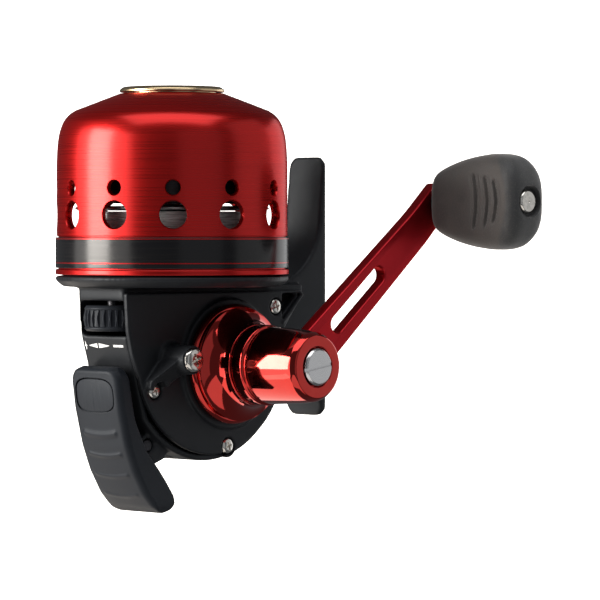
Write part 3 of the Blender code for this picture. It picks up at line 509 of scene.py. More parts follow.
def knob_rubber():
    """Soft rubber: brown-black and matt on the paddle, darker round its outer end."""
    made = Surface("knob_rubber", (0.027, 0.0235, 0.0225), 0.62, Sheen_Weight=0.25, Sheen_Roughness=0.5)
    bloom = made.noise(4.0, 4.0)
    made.vary_colour(made.spread(bloom, 0.0, 0.6), (0.052, 0.044, 0.04))
    curve = made.maths("MULTIPLY", made.squared(made.maths("SUBTRACT", made.along("X"), KNOB_X)), 0.035)
    reach = made.maths("SUBTRACT", curve, made.along("Y"))
    edge = KNOB_END - 3.4
    made.vary_colour(made.spread(reach, 0.0, 1.0, edge, edge + 1.4), (0.017, 0.0185, 0.021))
    made.vary_roughness(bloom, 0.08)
    speckle = made.noise(0.35, 2.0)
    made.vary_colour(made.spread(speckle, 0.0, 0.5, 0.5, 0.75), (0.06, 0.05, 0.046))
    made.bump(speckle, 0.045, 0.8)
    made.bump(made.noise(0.22, 3.0), 0.02, 0.7)
    return made.material


# Anodised aluminium with the fine rings that turning leaves round the spool's axis
TURNED_RED = finish(
    "turned_red", (0.5, 0.012, 0.011), 0.3, 0.92, ((0.28, 60.0, 60.0), 3.0), (0.4, 0.01, 0.009),
    (0.0, 0.4, 0.5, 0.8), uneven=0.04, relief=0.0015, grain=((0.09, 90.0, 90.0), 1.0, 0.0006),
    Coat_Weight=0.32, Coat_Roughness=0.2, Specular_Tint=(0.9, 0.12, 0.1, 1.0),
)
# The arm's finish: the same red over fine blasting, rubbed a little brighter in places
SATIN_RED = finish(
    "satin_red", (0.4, 0.011, 0.018), 0.34, 0.9, (6.0, 3.0), (0.5, 0.016, 0.024), (0.0, 0.3),
    uneven=0.03, grain=(0.14, 2.0, 0.003),
    Coat_Weight=0.15, Coat_Roughness=0.25, Specular_Tint=(0.9, 0.12, 0.12, 1.0),
)
# Mirror red with faint polishing haze
RED_CHROME = finish(
    "red_chrome", (0.58, 0.032, 0.024), 0.07, 1.0, (3.0, 4.0), (0.5, 0.022, 0.018), (0.0, 0.3),
    uneven=0.025, Coat_Weight=0.5, Coat_Roughness=0.03,
)
GOLD = finish(
    "champagne_gold", (0.8, 0.62, 0.38), 0.22, 1.0, ((0.12, 9.0, 9.0), 2.0), (0.62, 0.44, 0.24),
    (0.0, 0.5), uneven=0.05, relief=0.002,
)
PLASTIC = black_plastic("moulded_black", (0.0115, 0.0125, 0.0145), 0.4)
DARK_PLASTIC = black_plastic("lever_black", (0.0125, 0.0145, 0.0185), 0.46)
# The lacquered band, over the same turned metal
GLOSS_BLACK = finish(
    "gloss_black", (0.005, 0.005, 0.006), 0.2, 0.0, ((0.3, 30.0, 30.0), 2.0), (0.009, 0.008, 0.008),
    (0.0, 1.0, 0.5, 0.8), uneven=0.04, relief=0.0015, Specular_IOR_Level=0.36,
)
NICKEL = bare_metal("nickel", (0.78, 0.75, 0.7), 0.16, 0.8, 0.003)
STEEL = bare_metal("steel", (0.6, 0.6, 0.61), 0.26, (0.25, 3.0, 3.0), 0.003)
BLACK_OXIDE = bare_metal("black_oxide", (0.045, 0.045, 0.05), 0.4, 0.5, 0.003)
# The pickup head's aluminium is darkened to paint the shade inside the cover, which shows through the
# cover's holes
SPINNER_PAINTED_SHADE = bare_metal("spinner_painted_shade", (0.07, 0.07, 0.075), 0.42, (0.2, 6.0, 6.0), 0.003)
FACED_STEEL = faced_steel()
ALUMINIUM = bare_metal("aluminium", (0.42, 0.43, 0.44), 0.32, (0.2, 6.0, 6.0), 0.004)
BRASS = bare_metal("brass", (0.72, 0.52, 0.22), 0.28, 0.6, 0.004)
KNOB_RUBBER = knob_rubber()
MATT_RUBBER = finish("matt_rubber", (0.018, 0.018, 0.019), 0.8, grain=(0.3, 2.0, 0.02))
# Clear nylon line in tight layers, which look grey-white
LINE = finish(
    "nylon_line", (0.6, 0.62, 0.62), 0.22, 0.0, ((0.35, 5.0, 5.0), 2.0), (0.28, 0.3, 0.3),
    uneven=0.06, Coat_Weight=0.4, Coat_Roughness=0.1,
)
NYLON = finish(
    "nylon_plastic", (0.74, 0.73, 0.68), 0.45, marks=(2.0, 2.0), uneven=0.08,
    grain=(0.4, 2.0, 0.01), Subsurface_Weight=0.1,
)
# White pad-printed marks, thin enough to let a little black through
PAINT = finish("mark_paint", (0.85, 0.86, 0.86), 0.5, 0.0, (0.5, 3.0), (0.6, 0.61, 0.62), (0.0, 0.3))
LINE_RED = finish("line_red", (0.42, 0.01, 0.01), 0.25, 0.8, ((0.1, 20.0, 20.0), 2.0), uneven=0.05)


# Cover and nose

HOLES_ROUND, FIRST_HOLE = 12, 47.0
HOLE_ROWS = ((3.35, 18.2), (1.8, 24.8))  # radius and x


def cover_profile():
    """The cover's wall: the cone, a crease, the round shoulder, the straight side and back up inside."""
    inner = BAND_SEAT_RADIUS - 1.1
    nose_inside, nose_back = NOZZLE_RADIUS - 1.7, 47.2
    shoulder = smooth_line([
        (24.35, 44.08), (25.4, 43.4), (26.45, 42.35), (27.25, 41.05), (27.9, 39.3),
        (28.35, 37.2), (28.65, 34.2), (COVER_RADIUS, 30.5),
    ])
    shoulder_inside = smooth_line([
        (inner, 36.3), (26.85, 38.8), (26.3, 40.3), (25.6, 41.5), (24.6, 42.5), (23.8, 43.0),
    ])
    return [
        (NOZZLE_RADIUS, COVER_NOSE), (24.2, 44.22, 0.0), *[(*spot, 0.0) for spot in shoulder],
        (COVER_RADIUS, BAND_FRONT + 0.3, 0.15), (BAND_SEAT_RADIUS, BAND_FRONT + 0.3, 0.05),
        (BAND_SEAT_RADIUS, BAND_REAR - 0.3, 0.05), (RIM_RADIUS, BAND_REAR - 0.3, 0.45),
        (RIM_RADIUS, COVER_REAR, 0.25), (inner, COVER_REAR, 0.1),
        *[(*spot, 0.0) for spot in shoulder_inside], (NOZZLE_RADIUS - 0.4, nose_back, 0.0),
        (nose_inside, nose_back, 0.0), (nose_inside, COVER_NOSE),
    ]


def spun_tool(tool, x, turn):
    """Turns a tool that points along Z about the spool's axis and sets it at x."""
    spin = Matrix.Rotation(math.radians(turn), 4, "X")
    tool.matrix_world = Matrix.Translation(place(x, 0, 0)) @ spin
    return tool


def countersink(radius, surface):
    """A drill that also breaks the hole's outer edge, at the surface's radius."""
    profile = [
        (0, surface + 2), (radius + 1.6, surface + 2), (radius + 0.28, surface + 0.05),
        (radius, surface - 0.45), (radius, surface - 4), (0, surface - 4),
    ]
    return turned("drill", profile, Vector(), UPWARD, 40)


def make_cover():
    cover = turned("cover_shell", cover_profile(), ON_AXIS, FORWARD, 180, 0.12, 8)
    drills = [
        spun_tool(countersink(radius, COVER_RADIUS), x, FIRST_HOLE + index * 360 / HOLES_ROUND)
        for index in range(HOLES_ROUND)
        for radius, x in HOLE_ROWS
    ]
    show(cut(cover, *drills), TURNED_RED, "frame", ["front_cover"])


def make_band():
    seat = BAND_SEAT_RADIUS + 0.3
    profile = [(seat, BAND_FRONT, 0.0), (RIM_RADIUS, BAND_FRONT, 0.3)]
    profile += [(RIM_RADIUS, BAND_REAR, 0.3), (seat, BAND_REAR, 0.0)]
    band = turned("cover_band_shell", profile, ON_AXIS, FORWARD, 180, 0.2, 5)
    show(band, GLOSS_BLACK, "frame", ["cover_band"])
    proud, width = 0.012, 0.25
    for name, low in (("rear", BAND_REAR + 1.15), ("front", BAND_FRONT - 0.5)):
        outer, under = RIM_RADIUS + proud, RIM_RADIUS - 0.1
        stripe = [(under, low + width), (outer, low + width), (outer, low), (under, low)]
        line = turned(f"pinstripe_{name}", stripe, ON_AXIS, FORWARD, 180)
        show(line, LINE_RED, "frame")


def make_nozzle():
    profile = [
        (9.4, NOZZLE_FRONT - 0.1, 0.4), (12.1, NOZZLE_FRONT, 1.2),
        (NOZZLE_RADIUS, NOZZLE_FRONT - 0.75, 1.0), (NOZZLE_RADIUS, COVER_NOSE + 0.35, 0.15),
        (NOZZLE_RADIUS - 2.0, COVER_NOSE + 0.35, 0.1), (NOZZLE_RADIUS - 2.0, NOZZLE_REAR, 0.2),
        (9.6, NOZZLE_REAR, 0.4), (8.8, 48.4, 1.0),
    ]
    ring = turned("nozzle_lip", profile, ON_AXIS, FORWARD, 160, 0.4, 8)
    show(ring, GOLD, "frame", ["nozzle_ring"])


# Spool and line


def make_spool():
    low, high = extent("spool")
    rear, front, outer = low.x, high.x, high.y
    bore, core = 7.0, 9.0
    profile = [
        (bore, front, 0.2), (outer - 1.2, front, 0.3), (outer, front - 0.5, 0.35),
        (outer - 1.2, front - 1.0, 0.2), (core, front - 1.0, 0.4), (core, rear + 1.1, 0.4),
        (outer, rear + 1.1, 0.3), (outer, rear, 0.3), (bore, rear, 0.2),
    ]
    spool = turned("spool_drum", profile, ON_AXIS, FORWARD, 128, 0.3, 4)
    show(spool, ALUMINIUM, "spool_body", ["spool"])


def make_winding():
    """The wound line, with its outer layer's turns side by side."""
    low, high = extent("line_winding")
    line_width, core = 0.42, 9.3
    turns = round((high.x - low.x) / line_width)
    pitch = (high.x - low.x) / turns
    crests = []
    for turn in range(turns):
        middle = high.x - pitch * (turn + 0.5)
        swell = high.y - 0.35 - 0.35 * (2 * (turn + 0.5) / turns - 1) ** 2
        for step in range(5):
            angle = math.radians(150 - 30 * step)
            crests.append((swell + 0.17 * math.sin(angle), middle - pitch / 2 * math.cos(angle)))
    profile = [(core, high.x), *crests, (core, low.x)]
    winding = turned("wound_line", profile, ON_AXIS, FORWARD, 96)
    show(winding, LINE, "spool_body", ["line_winding"], 80)


# Frame


def case_outline():
    top = [(0.8, 24.4, 0.0), (-10.0, 23.9, 20.0), (-22.0, 20.4, 20.0), (-32.0, 17.6, 4.0)]
    back = arc(CASE_CENTRE, 27.6, 131, 281, 48)
    corner = [back[-1], (-1.9, -38.1, 3.0), (0.8, -38.1, 0.0)]
    return rounded(top, 1.0, 8, closed=False) + back + rounded(corner, 2.0, 5, closed=False)[1:]


def stem_outline():
    foot = -AXIS_HEIGHT
    toe_edge, heel_edge = 0.7, 1.5
    front = arc((18.8, -28.9), 17.8, 270, 180, 30)
    rear = arc((-34.0, -33.2), 14.0, 0, -90, 26)
    toe = [(FOOT_HALF, foot), (FOOT_HALF, foot + toe_edge)]
    heel = [(-FOOT_HALF, foot + heel_edge), (-FOOT_HALF, foot)]
    return toe + front + [(1.0, -24.0), (-20.0, -24.0)] + rear + heel


def oblong(front, rear, side, front_corner, rear_corner, steps):
    """A rectangle from rear to front and side to side, with rounded corners."""
    corners = [(front, side, front_corner), (rear, side, rear_corner)]
    corners += [(rear, -side, rear_corner), (front, -side, front_corner)]
    return rounded(corners, 0.0, steps)


def corner_pocket():
    """The triangular pocket beside the front plate screw, as x and u."""
    return rounded([(-8.9, -28.9), (-1.5, -28.7), (-1.5, -36.2)], 0.5, 4)


def wheel_window():
    """The opening over the drag wheel, with rounded corners at its rear."""
    near, far = CASE_NEAR + 0.6, -WHEEL_RADIUS - 0.3
    rear, front = -11.4, -2.85
    outline = [(rear, far, 1.6), (front, far, 0.6), (front, near, 0.0), (rear, near, 0.0)]
    return prism("wheel_window", rounded(outline, 0.0, 8), ON_AXIS, DOWNWARD, -40, -11.5)


def make_deck():
    """The round deck behind the cover, with the hub that holds the spool and the lip inside the cover."""
    front, hub, hub_front, rim = 3.15, 6.5, 21.6, RIM_RADIUS
    lip_inner, lip_outer, lip_front = 25.3, 26.9, 5.6
    profile = [
        (0, hub_front), (hub, hub_front), (hub, front), (lip_inner, front), (lip_inner, lip_front),
        (lip_outer, lip_front), (lip_outer, front), (rim, front, 0.5), (rim, DECK_REAR + 1.6, 1.0),
        (rim - 1.9, DECK_REAR, 0.8), (0, DECK_REAR),
    ]
    return turned("reel_body", profile, ON_AXIS, FORWARD, 160, 0.0, 5)


def make_body():
    """The frame: deck, gear case, stem, foot and the lever's ears, moulded as one."""
    body = make_deck()
    case = side_prism("case", case_outline(), CASE_FAR, CASE_NEAR, edge=0.7)
    stem = side_prism("stem", stem_outline(), -8, 8)
    foot_plan = oblong(FOOT_HALF, -FOOT_HALF, 6.4, 3.2, 3.2, 10)
    keep_inside(stem, prism("stem_plan", foot_plan, ON_AXIS, UPWARD, -60, -20))
    ear = arc((LEVER_X, LEVER_U), 2.5, 35, 150, 12)
    ear += [(-43.4, 12.4), (-42.0, 8.6), (-36.0, 4.5), (-31.0, 12.0)]
    ears = [side_prism("ear", ear, *sides, edge=0.4) for sides in ((-6.6, -3.0), (3.0, 6.6))]
    join(body, case, stem, *ears)
    cavity = [(-1.45, 22.7), (-10.0, 22.3), (-16.0, 20.9), (-22.0, 18.8), (-32.0, 15.9)]
    cavity += arc(CASE_CENTRE, 26.0, 131, 272, 36) + [(-4.0, -29.6), (-1.45, -28.4)]
    cut(
        body,
        side_prism("cavity", cavity, CASE_FAR + 1.6, CASE_NEAR + 1),
        side_prism("corner_pocket", corner_pocket(), CASE_NEAR - 2.6, CASE_NEAR + 1),
        cylinder("hub_bore", 4.9, -4.0, 30.0, ON_AXIS, FORWARD),
        side_prism("lever_slot", [(-46, 1), (-29.5, 1), (-29.5, 30), (-46, 30)], -2.8, 2.8),
        wheel_window(),
        cylinder("lever_bore", 1.75, -8, 8, ON_LEVER_PIN, CRANKWARD),
        cylinder("drag_bore", 1.9, -2, 6, ON_WHEEL, FORWARD),
    )
    soften(body, 0.46, 4)
    show(body, PLASTIC, "frame", ["frame_body"], 60)


def height_at(line, x):
    """The second coordinate of a line of points at x, where x runs one way along the line."""
    for (x0, u0), (x1, u1) in zip(line, line[1:]):
        if min(x0, x1) <= x <= max(x0, x1) and x0 != x1:
            return u0 + (u1 - u0) * (x - x0) / (x1 - x0)
    return line[-1][1]


def make_marks():
    """Plus, minus and two arrow heads on the case's top, beside the drag wheel: the ways it turns."""
    middle_x, sunk, proud = -13.9, -0.12, 0.05
    top = case_outline()[:12]
    slope = math.atan2(height_at(top, middle_x + 1) - height_at(top, middle_x - 1), 2)
    lie = Matrix.Rotation(-slope, 4, "Y")
    point = place(middle_x, 0, height_at(top, middle_x))
    plus_a, tall, wide, stroke = -6.85, 1.0, 0.42, 0.13
    quarter = [(tall, stroke), (stroke, stroke), (stroke, wide)]
    plus = [(-x, -a) for x, a in quarter] + [(x, -a) for x, a in reversed(quarter)]
    plus += quarter + [(-x, a) for x, a in reversed(quarter)]
    arrow, minus = 0.62, 0.28
    signs = [
        [(x, a + plus_a) for x, a in plus],
        rounded([(-arrow, -2.7), (arrow, -2.7), (0.0, -6.0)], 0.08, 3),
        rounded([(-arrow, -2.15), (arrow, -2.15), (0.0, 2.05)], 0.08, 3),
        [(-minus, 3.1), (minus, 3.1), (minus, 6.6), (-minus, 6.6)],
    ]
    made = [
        prism(f"mark_{index}", [(x, -a) for x, a in outline], point, lie, sunk, proud)
        for index, outline in enumerate(signs)
    ]
    show(join(made[0], *made[1:]), PAINT, "frame")


# Side plate and its screws


def plate_outline():
    top = [(-0.9, 24.9, 0.4), (-10.0, 24.3, 15.0), (-16.0, 22.9, 15.0), (-21.5, 20.7, 6.0)]
    back = arc(PLATE_CENTRE, PLATE_RADIUS, 103, 193, 60)
    bump = arc(centre_of("plate_screw_rear"), 2.9, 150, 250, 14)
    bottom = arc(PLATE_CENTRE, PLATE_RADIUS, 203, 282, 50)
    line = [(x, u, 0.0) for x, u in back + bump + bottom]
    return rounded(top + line + [(-1.9, -36.2, 1.0), (-0.9, -36.2, 0.5)], 0.0, 8)


def gusset_outline():
    corners = [
        (-14.5, 8.6), (-13.8, 11.0), (-18.0, 14.5), (-22.3, 18.6),
        (-24.7, 19.2), (-24.7, 16.4), (-23.9, 13.0), (-19.8, 7.8),
    ]
    return rounded(corners, 0.6, 4)


def make_plate():
    """The cover of the gear case: raised bearing seat, screw post with its web, and sunk screws."""
    plate = side_prism("plate", plate_outline(), PLATE_INNER, PLATE_OUTER, edge=0.3)
    inside = PLATE_INNER + 0.4
    skirt = SEAT_RADIUS + 0.7
    seat = [
        (0, SEAT_OUTER), (SEAT_RADIUS, SEAT_OUTER, 0.35), (SEAT_RADIUS, PLATE_OUTER + 0.35, 0.3),
        (skirt, PLATE_OUTER - 0.1), (skirt, inside), (0, inside),
    ]
    post = [
        (0, POST_TOP), (3.55, POST_TOP, 0.3), (3.7, PLATE_OUTER + 1.0, 0.8),
        (4.6, PLATE_OUTER - 0.2), (4.6, inside), (0, inside),
    ]
    on_post = place(POST[0], 0, POST[1])
    web = side_prism("web", gusset_outline(), inside, 16.5)
    slope = [(-30, 9), (-30, 12.2), (-22.5, 12.6), (-15.5, 18.2), (-10, 18.2), (-10, 9)]
    keep_inside(web, prism("web_slope", slope, ON_AXIS, DOWNWARD, -40, 20))
    join(
        plate,
        turned("seat", seat, ON_CRANK, CRANKWARD, 96, 0.2, 4),
        turned("post", post, on_post, CRANKWARD, 64, 0.2, 4),
        web,
    )
    cutters = [cylinder("shaft_hole", 3.6, 5, 15, ON_CRANK, CRANKWARD)]
    shank, beyond = 1.35, 25
    for name in PLATE_SCREWS:
        x, u = centre_of(name)
        point, head = place(x, 0, u), across_reel(name)[0]
        cutters.append(cylinder("head_pocket", head + 0.35, PLATE_INNER + 0.6, 20, point, CRANKWARD))
        cutters.append(cylinder("shank_hole", shank, 5, 15, point, CRANKWARD))
    cutters.append(cylinder("post_pocket", 3.0, POST_TOP - 0.9, beyond, on_post, CRANKWARD))
    cutters.append(cylinder("post_hole", shank, 5, beyond, on_post, CRANKWARD))
    cutters.append(side_prism("corner_pocket", corner_pocket(), 5, 20))
    cut(plate, *cutters)
    rim = rounded([(-9.3, -29.0), (-8.7, -28.9), (-1.6, -36.0), (-2.0, -36.4)], 0.15, 3)
    join(plate, side_prism("pocket_rim", rim, PLATE_OUTER - 1.0, PLATE_OUTER + 0.35))
    soften(plate, 0.28, 3)
    show(plate, PLASTIC, "frame", ["side_plate"], 60)


def rectangle(half_length, half_width):
    return [(-half_length, -half_width), (half_length, -half_width),
            (half_length, half_width), (-half_length, half_width)]


def make_pan_screw(name, piece):
    """A pan-head screw with a cross recess, in the place of one of the CAD's screws."""
    x, u = centre_of(name)
    point = place(x, 0, u)
    radius, top, tip = across_reel(name)
    seat, shank = top - radius * 0.42, 0.95
    profile = [
        (0, top), (radius * 0.45, top - 0.03, 1.5), (radius * 0.88, top - 0.32, 0.9),
        (radius, seat + 0.25, 0.35), (radius, seat, 0.08), (shank, seat, 0.1),
        (shank, tip + 0.5, 0.0), (0.5, tip, 0.0), (0, tip),
    ]
    screw = turned(piece, profile, point, CRANKWARD, 64, 0.2, 6)
    size, wing, depth = radius * 0.56, 0.17 * radius ** 0.5, 0.75
    recesses = []
    for turn in (20, 110):
        lie = CRANKWARD @ Matrix.Rotation(math.radians(turn), 4, "Z")
        outline = rounded(rectangle(size, wing), wing * 0.6, 3)
        recesses.append(prism("recess", outline, point, lie, top - depth, top + 1))
    show(cut(screw, *recesses), NICKEL, "frame", [name], 30)


# Crank


def make_flange():
    """The chromed bearing housing: a wide rim, a step and a concave neck."""
    start, face = SEAT_OUTER + 0.3, 21.0
    bore, bushing, bushing_end = 3.0, 6.3, 18.2
    neck = arc((16.0, 20.6), 5.9, 252, 182, 18)
    profile = [
        (bore, face, 0.1), (10.1, face, 0.5), *[(*spot, 0.0) for spot in reversed(neck)],
        (13.3, 14.4, 0.7), (13.5, 13.6, 0.25), (14.3, 13.5, 0.5), (15.0, 12.9, 0.7), (15.0, start, 0.3),
        (bushing, start, 0.0), (bushing, bushing_end, 0.0), (bore, bushing_end, 0.0),
    ]
    flange = turned("bearing_housing", profile, ON_CRANK, CRANKWARD, 160, 0.2, 6)
    show(flange, RED_CHROME, "frame", ["crank_flange"], 50)


def make_hub():
    bore, head, head_floor = 2.75, 5.0, 39.2
    profile = [
        (head, HUB_END, 0.25), (7.7, HUB_END, 0.8), (8.55, HUB_END - 1.3, 0.9), (8.95, 38.0, 0.0),
        (9.6, 26.4, 0.6), (9.2, 26.1, 0.15), (9.2, 25.2, 0.15), (10.0, 24.9, 0.6), (10.0, HUB_START, 0.5),
        (bore, HUB_START, 0.1), (bore, head_floor, 0.0), (head, head_floor, 0.15),
    ]
    hub = turned("crank_barrel", profile, ON_CRANK, CRANKWARD, 160, 0.2, 6)
    room = 0.3
    half = ARM_HALF_WIDTH_HUB + room
    slot = [(0, -half), (14, -half), (14, half), (0, half)] + arc((0, 0), half, 90, 270, 30)[1:-1]
    low = ARM_FRONT - ARM_THICKNESS - room
    cut(hub, prism("arm_slot", slot, ON_CRANK, ALONG_ARM, low, ARM_FRONT + room))
    show(hub, RED_CHROME, "crank", ["crank_hub"], 35)


def bend_drop(reach):
    """How far the arm has come down toward the reel, reach along it from the crank's axis."""
    past = reach - ARM_BEND_START
    slope = ARM_BEND_DROP / (CRANK_LENGTH - ARM_BEND_START)
    if past <= -ARM_BEND_SOFT:
        return 0.0
    if past >= ARM_BEND_SOFT:
        return slope * past
    return slope * (past + ARM_BEND_SOFT) ** 2 / (4 * ARM_BEND_SOFT)


def make_arm():
    """The crank arm: a long plate with a slot, bent near the knob, with rounded edges."""
    waist, slot_radius, slot_side = 58.0, 2.2, 0.2
    tip = arc((CRANK_LENGTH, 0), ARM_END_RADIUS, -65, 65, 30)
    plan = arc((0, 0), ARM_HALF_WIDTH_HUB, 90, 270, 36)
    plan += [(waist, -ARM_HALF_WIDTH_TIP)] + tip + [(waist, ARM_HALF_WIDTH_TIP)]
    slot = arc((35.0, slot_side), slot_radius, 90, -90, 20)
    slot += arc((16.0, slot_side), slot_radius, -90, -270, 20)
    shaft_hole = arc((0, 0), 2.75, 360, 0, 32)[:-1]
    pin_hole = arc((CRANK_LENGTH, 0), 2.1, 360, 0, 32)[:-1]
    holes = (slot, shaft_hole, pin_hole)
    back = ARM_FRONT - ARM_THICKNESS
    arm = prism("crank_lever", plan, ON_CRANK, ALONG_ARM, back, ARM_FRONT, holes, edge=0.45)
    bend = [ARM_BEND_START - ARM_BEND_SOFT + 0.5 * step for step in range(9)]
    sliced(arm, Vector((1, 0, 0)), bend)
    for vert in arm.data.vertices:
        vert.co.z -= bend_drop(vert.co.x / MM) * MM
    show(arm, SATIN_RED, "crank", ["crank_arm"], 40)


def make_handle_screw():
    radius, top, tip = across_reel("handle_screw")
    under, shank = HUB_END - 1.9, 0.95
    profile = [
        (0, top), (radius - 0.55, top, 0.2), (radius, top - 0.5, 0.2), (radius, under, 0.1),
        (shank, under, 0.1), (shank, tip, 0.1), (0, tip),
    ]
    screw = turned("handle_bolt", profile, ON_CRANK, CRANKWARD, 96, 0.2, 4)
    lie = CRANKWARD @ Matrix.Rotation(math.radians(-81), 4, "Z")
    cut(screw, prism("driver_slot", rectangle(6, 0.42), ON_CRANK, lie, top - 0.75, top + 2))
    show(screw, FACED_STEEL, "crank", ["handle_screw"], 30)


# Knob

KNOB_HALF_PLAN = [
    (KNOB_START, 5.9), (38.3, 7.5), (42.0, 9.3), (47.0, 10.8), (52.5, 11.75),
    (57.5, 12.05), (61.5, 11.3), (64.2, 9.1), (65.6, 6.6), (KNOB_END, 4.6),
]
KNOB_CORNER, KNOB_SQUARENESS = 3.1, 3.4
KNOB_GROOVES = ((53.2, 7.1), (56.9, 6.5), (59.8, 5.6))  # the middle's a and the half length
GROOVE_DEPTH, GROOVE_LIP, GROOVE_HALF_WIDTH = 0.7, 0.16, 0.45


def superellipse(cos, sin, half_width, half_height, power):
    """How far a rounded oblong reaches in the direction of a unit vector."""
    return (abs(cos / half_width) ** power + abs(sin / half_height) ** power) ** (-1 / power)


def end_rounding(a, corner):
    """How far the knob's faces have come in at a, near its rounded ends."""
    short = max(KNOB_START + corner - a, a - (KNOB_END - corner), 0.0)
    return corner - math.sqrt(max(corner**2 - short**2, 0.0))


def groove_depth(x, a):
    """The depth of the grip's grooves, which bow toward the knob's outer end in their middles.

    Beside each groove a low lip stands up. It counts only where no groove is near.
    """
    deepest = 0.0
    for middle, reach in KNOB_GROOVES:
        if abs(x) < reach:
            bow = 1.2 * (1 - (x / reach) ** 2)
            across = (a - middle + 0.6 - bow) / GROOVE_HALF_WIDTH
            fade = min(1.0, (reach - abs(x)) / 0.9)
            lip = GROOVE_LIP * math.exp(-((abs(across) - 2.2) ** 2))
            depth = fade * (GROOVE_DEPTH * math.exp(-across * across) - lip)
            pick = max if max(depth, deepest) > 0 else min
            deepest = pick(deepest, depth)
    return deepest


def knob_ring(a, half_width, count):
    """One section of the knob, as (x, a, u) points from the knob's own axis."""
    half_height = KNOB_HALF_THICKNESS - end_rounding(a, KNOB_CORNER)
    points = []
    for index in range(count):
        turn = 2 * math.pi * index / count
        cos, sin = math.cos(turn), math.sin(turn)
        reach = superellipse(cos, sin, half_width, half_height, KNOB_SQUARENESS)
        x, u = reach * cos, reach * sin
        if abs(sin) > 0.25 * abs(cos):
            u -= math.copysign(groove_depth(x, a), u)
        points.append((x, a, u))
    return points


def make_knob():
    """The paddle as one lofted skin, with the recess and the bore cut into it."""
    count, step = 192, 0.17
    plan = smooth_line(KNOB_HALF_PLAN, 12)
    steps = round((KNOB_END - KNOB_START) / step)
    verts = []
    for index in range(steps, -1, -1):
        a = KNOB_START + (KNOB_END - KNOB_START) * index / steps
        half_width = min(height_at(plan, a), KNOB_HALF_WIDTH)
        verts += [place(KNOB_X + x, a, KNOB_U + u) for x, a, u in knob_ring(a, half_width, count)]
    faces = [tuple(range(count)), tuple(range(len(verts) - 1, len(verts) - count - 1, -1))]
    for start in range(0, steps * count, count):
        for index in range(count):
            side = (index + 1) % count
            faces.append((start + index, start + side, start + count + side, start + count + index))
    mesh = bpy.data.meshes.new("grip")
    mesh.from_pydata(verts, [], faces)
    skin = bmesh.new()
    skin.from_mesh(mesh)
    bmesh.ops.recalc_face_normals(skin, faces=skin.faces)
    skin.to_mesh(mesh)
    skin.free()
    floor, above = KNOB_END - 1.6, KNOB_END + 1
    profile = [(0, above), (4.6, above), (3.95, KNOB_END - 0.35), (3.85, floor), (0, floor)]
    recess = turned("recess", profile, ON_KNOB, CRANKWARD, 96)
    bore = cylinder("bore", 2.1, KNOB_START - 1, KNOB_END, ON_KNOB, CRANKWARD)
    knob = cut(add_object("grip", mesh), recess, bore)
    show(knob, KNOB_RUBBER, "knob_body", ["knob"], 50)


def make_knob_rivet():
    """The knob's pin, whose peened end shows in the knob's recess with a small centre mark."""
    top, tip = across_reel("knob_pin")[1:]
    head, shank = 2.95, 1.8
    profile = [
        (0, top - 0.35), (0.2, top - 0.3, 0.08), (0.35, top - 0.03, 0.08), (2.5, top - 0.1, 0.4),
        (head, top - 0.55, 0.3), (head, top - 0.9, 0.1), (shank, top - 0.9, 0.1),
        (shank, tip + 1.0, 0.1), (2.8, tip + 1.0, 0.2), (2.5, tip + 0.1, 0.4), (0, tip),
    ]
    pin = turned("knob_rivet", profile, ON_KNOB, CRANKWARD, 72, 0.1, 5)
    show(pin, NICKEL, "crank", ["knob_pin"], 40)
    near, far = across_reel("knob_spacer")[1:]
    profile = [(2.1, near, 0.2), (3.9, near, 0.4), (3.9, far, 0.3), (2.1, far, 0.2)]
    spacer = turned("knob_collar", profile, ON_KNOB, CRANKWARD, 72, 0.2, 5)
    show(spacer, DARK_PLASTIC, "crank", ["knob_spacer"], 40)


# Thumb lever

LEVER_CORNER = 4.2
LEVER_EDGE = 1.7
LEVER_TOP = [(LEVER_FRONT, 26.3), (-19.8, 27.4), (-29.0, 26.1), (-38.5, 23.7), (-44.8, 21.1)]
LEVER_TAIL = [(-50.6, 17.6), (-54.0, 14.3), (-55.6, 10.4), (-54.6, 8.0), (-52.8, 7.2), (-51.0, 7.7)]
LEVER_UNDER = [(-47.5, 10.2), (-44.0, 13.0), (-39.9, 16.7), (-31.9, 20.7), (-22.3, 22.6), (-19.0, 23.2)]
LEVER_RADII = [0.5, 0.9, 25.0, 25.0, 12.0, 8.0, 5.0, 2.5, 1.2, 1.0, 1.0, 10.0, 10.0, 8.0, 12.0, 10.0, 0.5]
PAD_X = -26.0
# Each ridge's place, half width and height
LEVER_RIDGES = ((-35.1, 0.75, 0.4), (-40.3, 0.55, 0.34), (-45.5, 0.5, 0.3), (-50.5, 0.45, 0.24))


def lever_side():
    spots = LEVER_TOP + LEVER_TAIL + LEVER_UNDER
    return rounded([(*spot, radius) for spot, radius in zip(spots, LEVER_RADII)], 1.0, 8)


def pad_outline(grow):
    """The rounded oblong near the lever's front end, as x and a."""
    half_length, half_width, power = 4.1 + grow, 6.6 + grow, 3.2
    outline = []
    for cos, sin in arc((0, 0), 1.0, 0, 360, 96)[:-1]:
        reach = superellipse(cos, sin, half_length, half_width, power)
        outline.append((PAD_X + reach * cos, reach * sin))
    return outline


def lever_inset(x, a):
    """How far a point of the lever's top lies inside its outline, seen from above."""
    across = abs(a) - (LEVER_HALF_WIDTH - LEVER_CORNER)
    along = x - (LEVER_FRONT - LEVER_CORNER)
    if across > 0 and along > 0:
        return LEVER_CORNER - math.hypot(across, along)
    return LEVER_CORNER - max(across, along)


def lever_crown(x, a):
    """How far the lever's top falls away from its middle line, over its rounded edge too."""
    short = min(max(LEVER_EDGE - lever_inset(x, a), 0.0), LEVER_EDGE)
    return 0.5 * (a / LEVER_HALF_WIDTH) ** 2 + LEVER_EDGE - math.sqrt(LEVER_EDGE**2 - short**2)


def lever_top(x):
    return height_at(LEVER_TOP + LEVER_TAIL[:2], x)


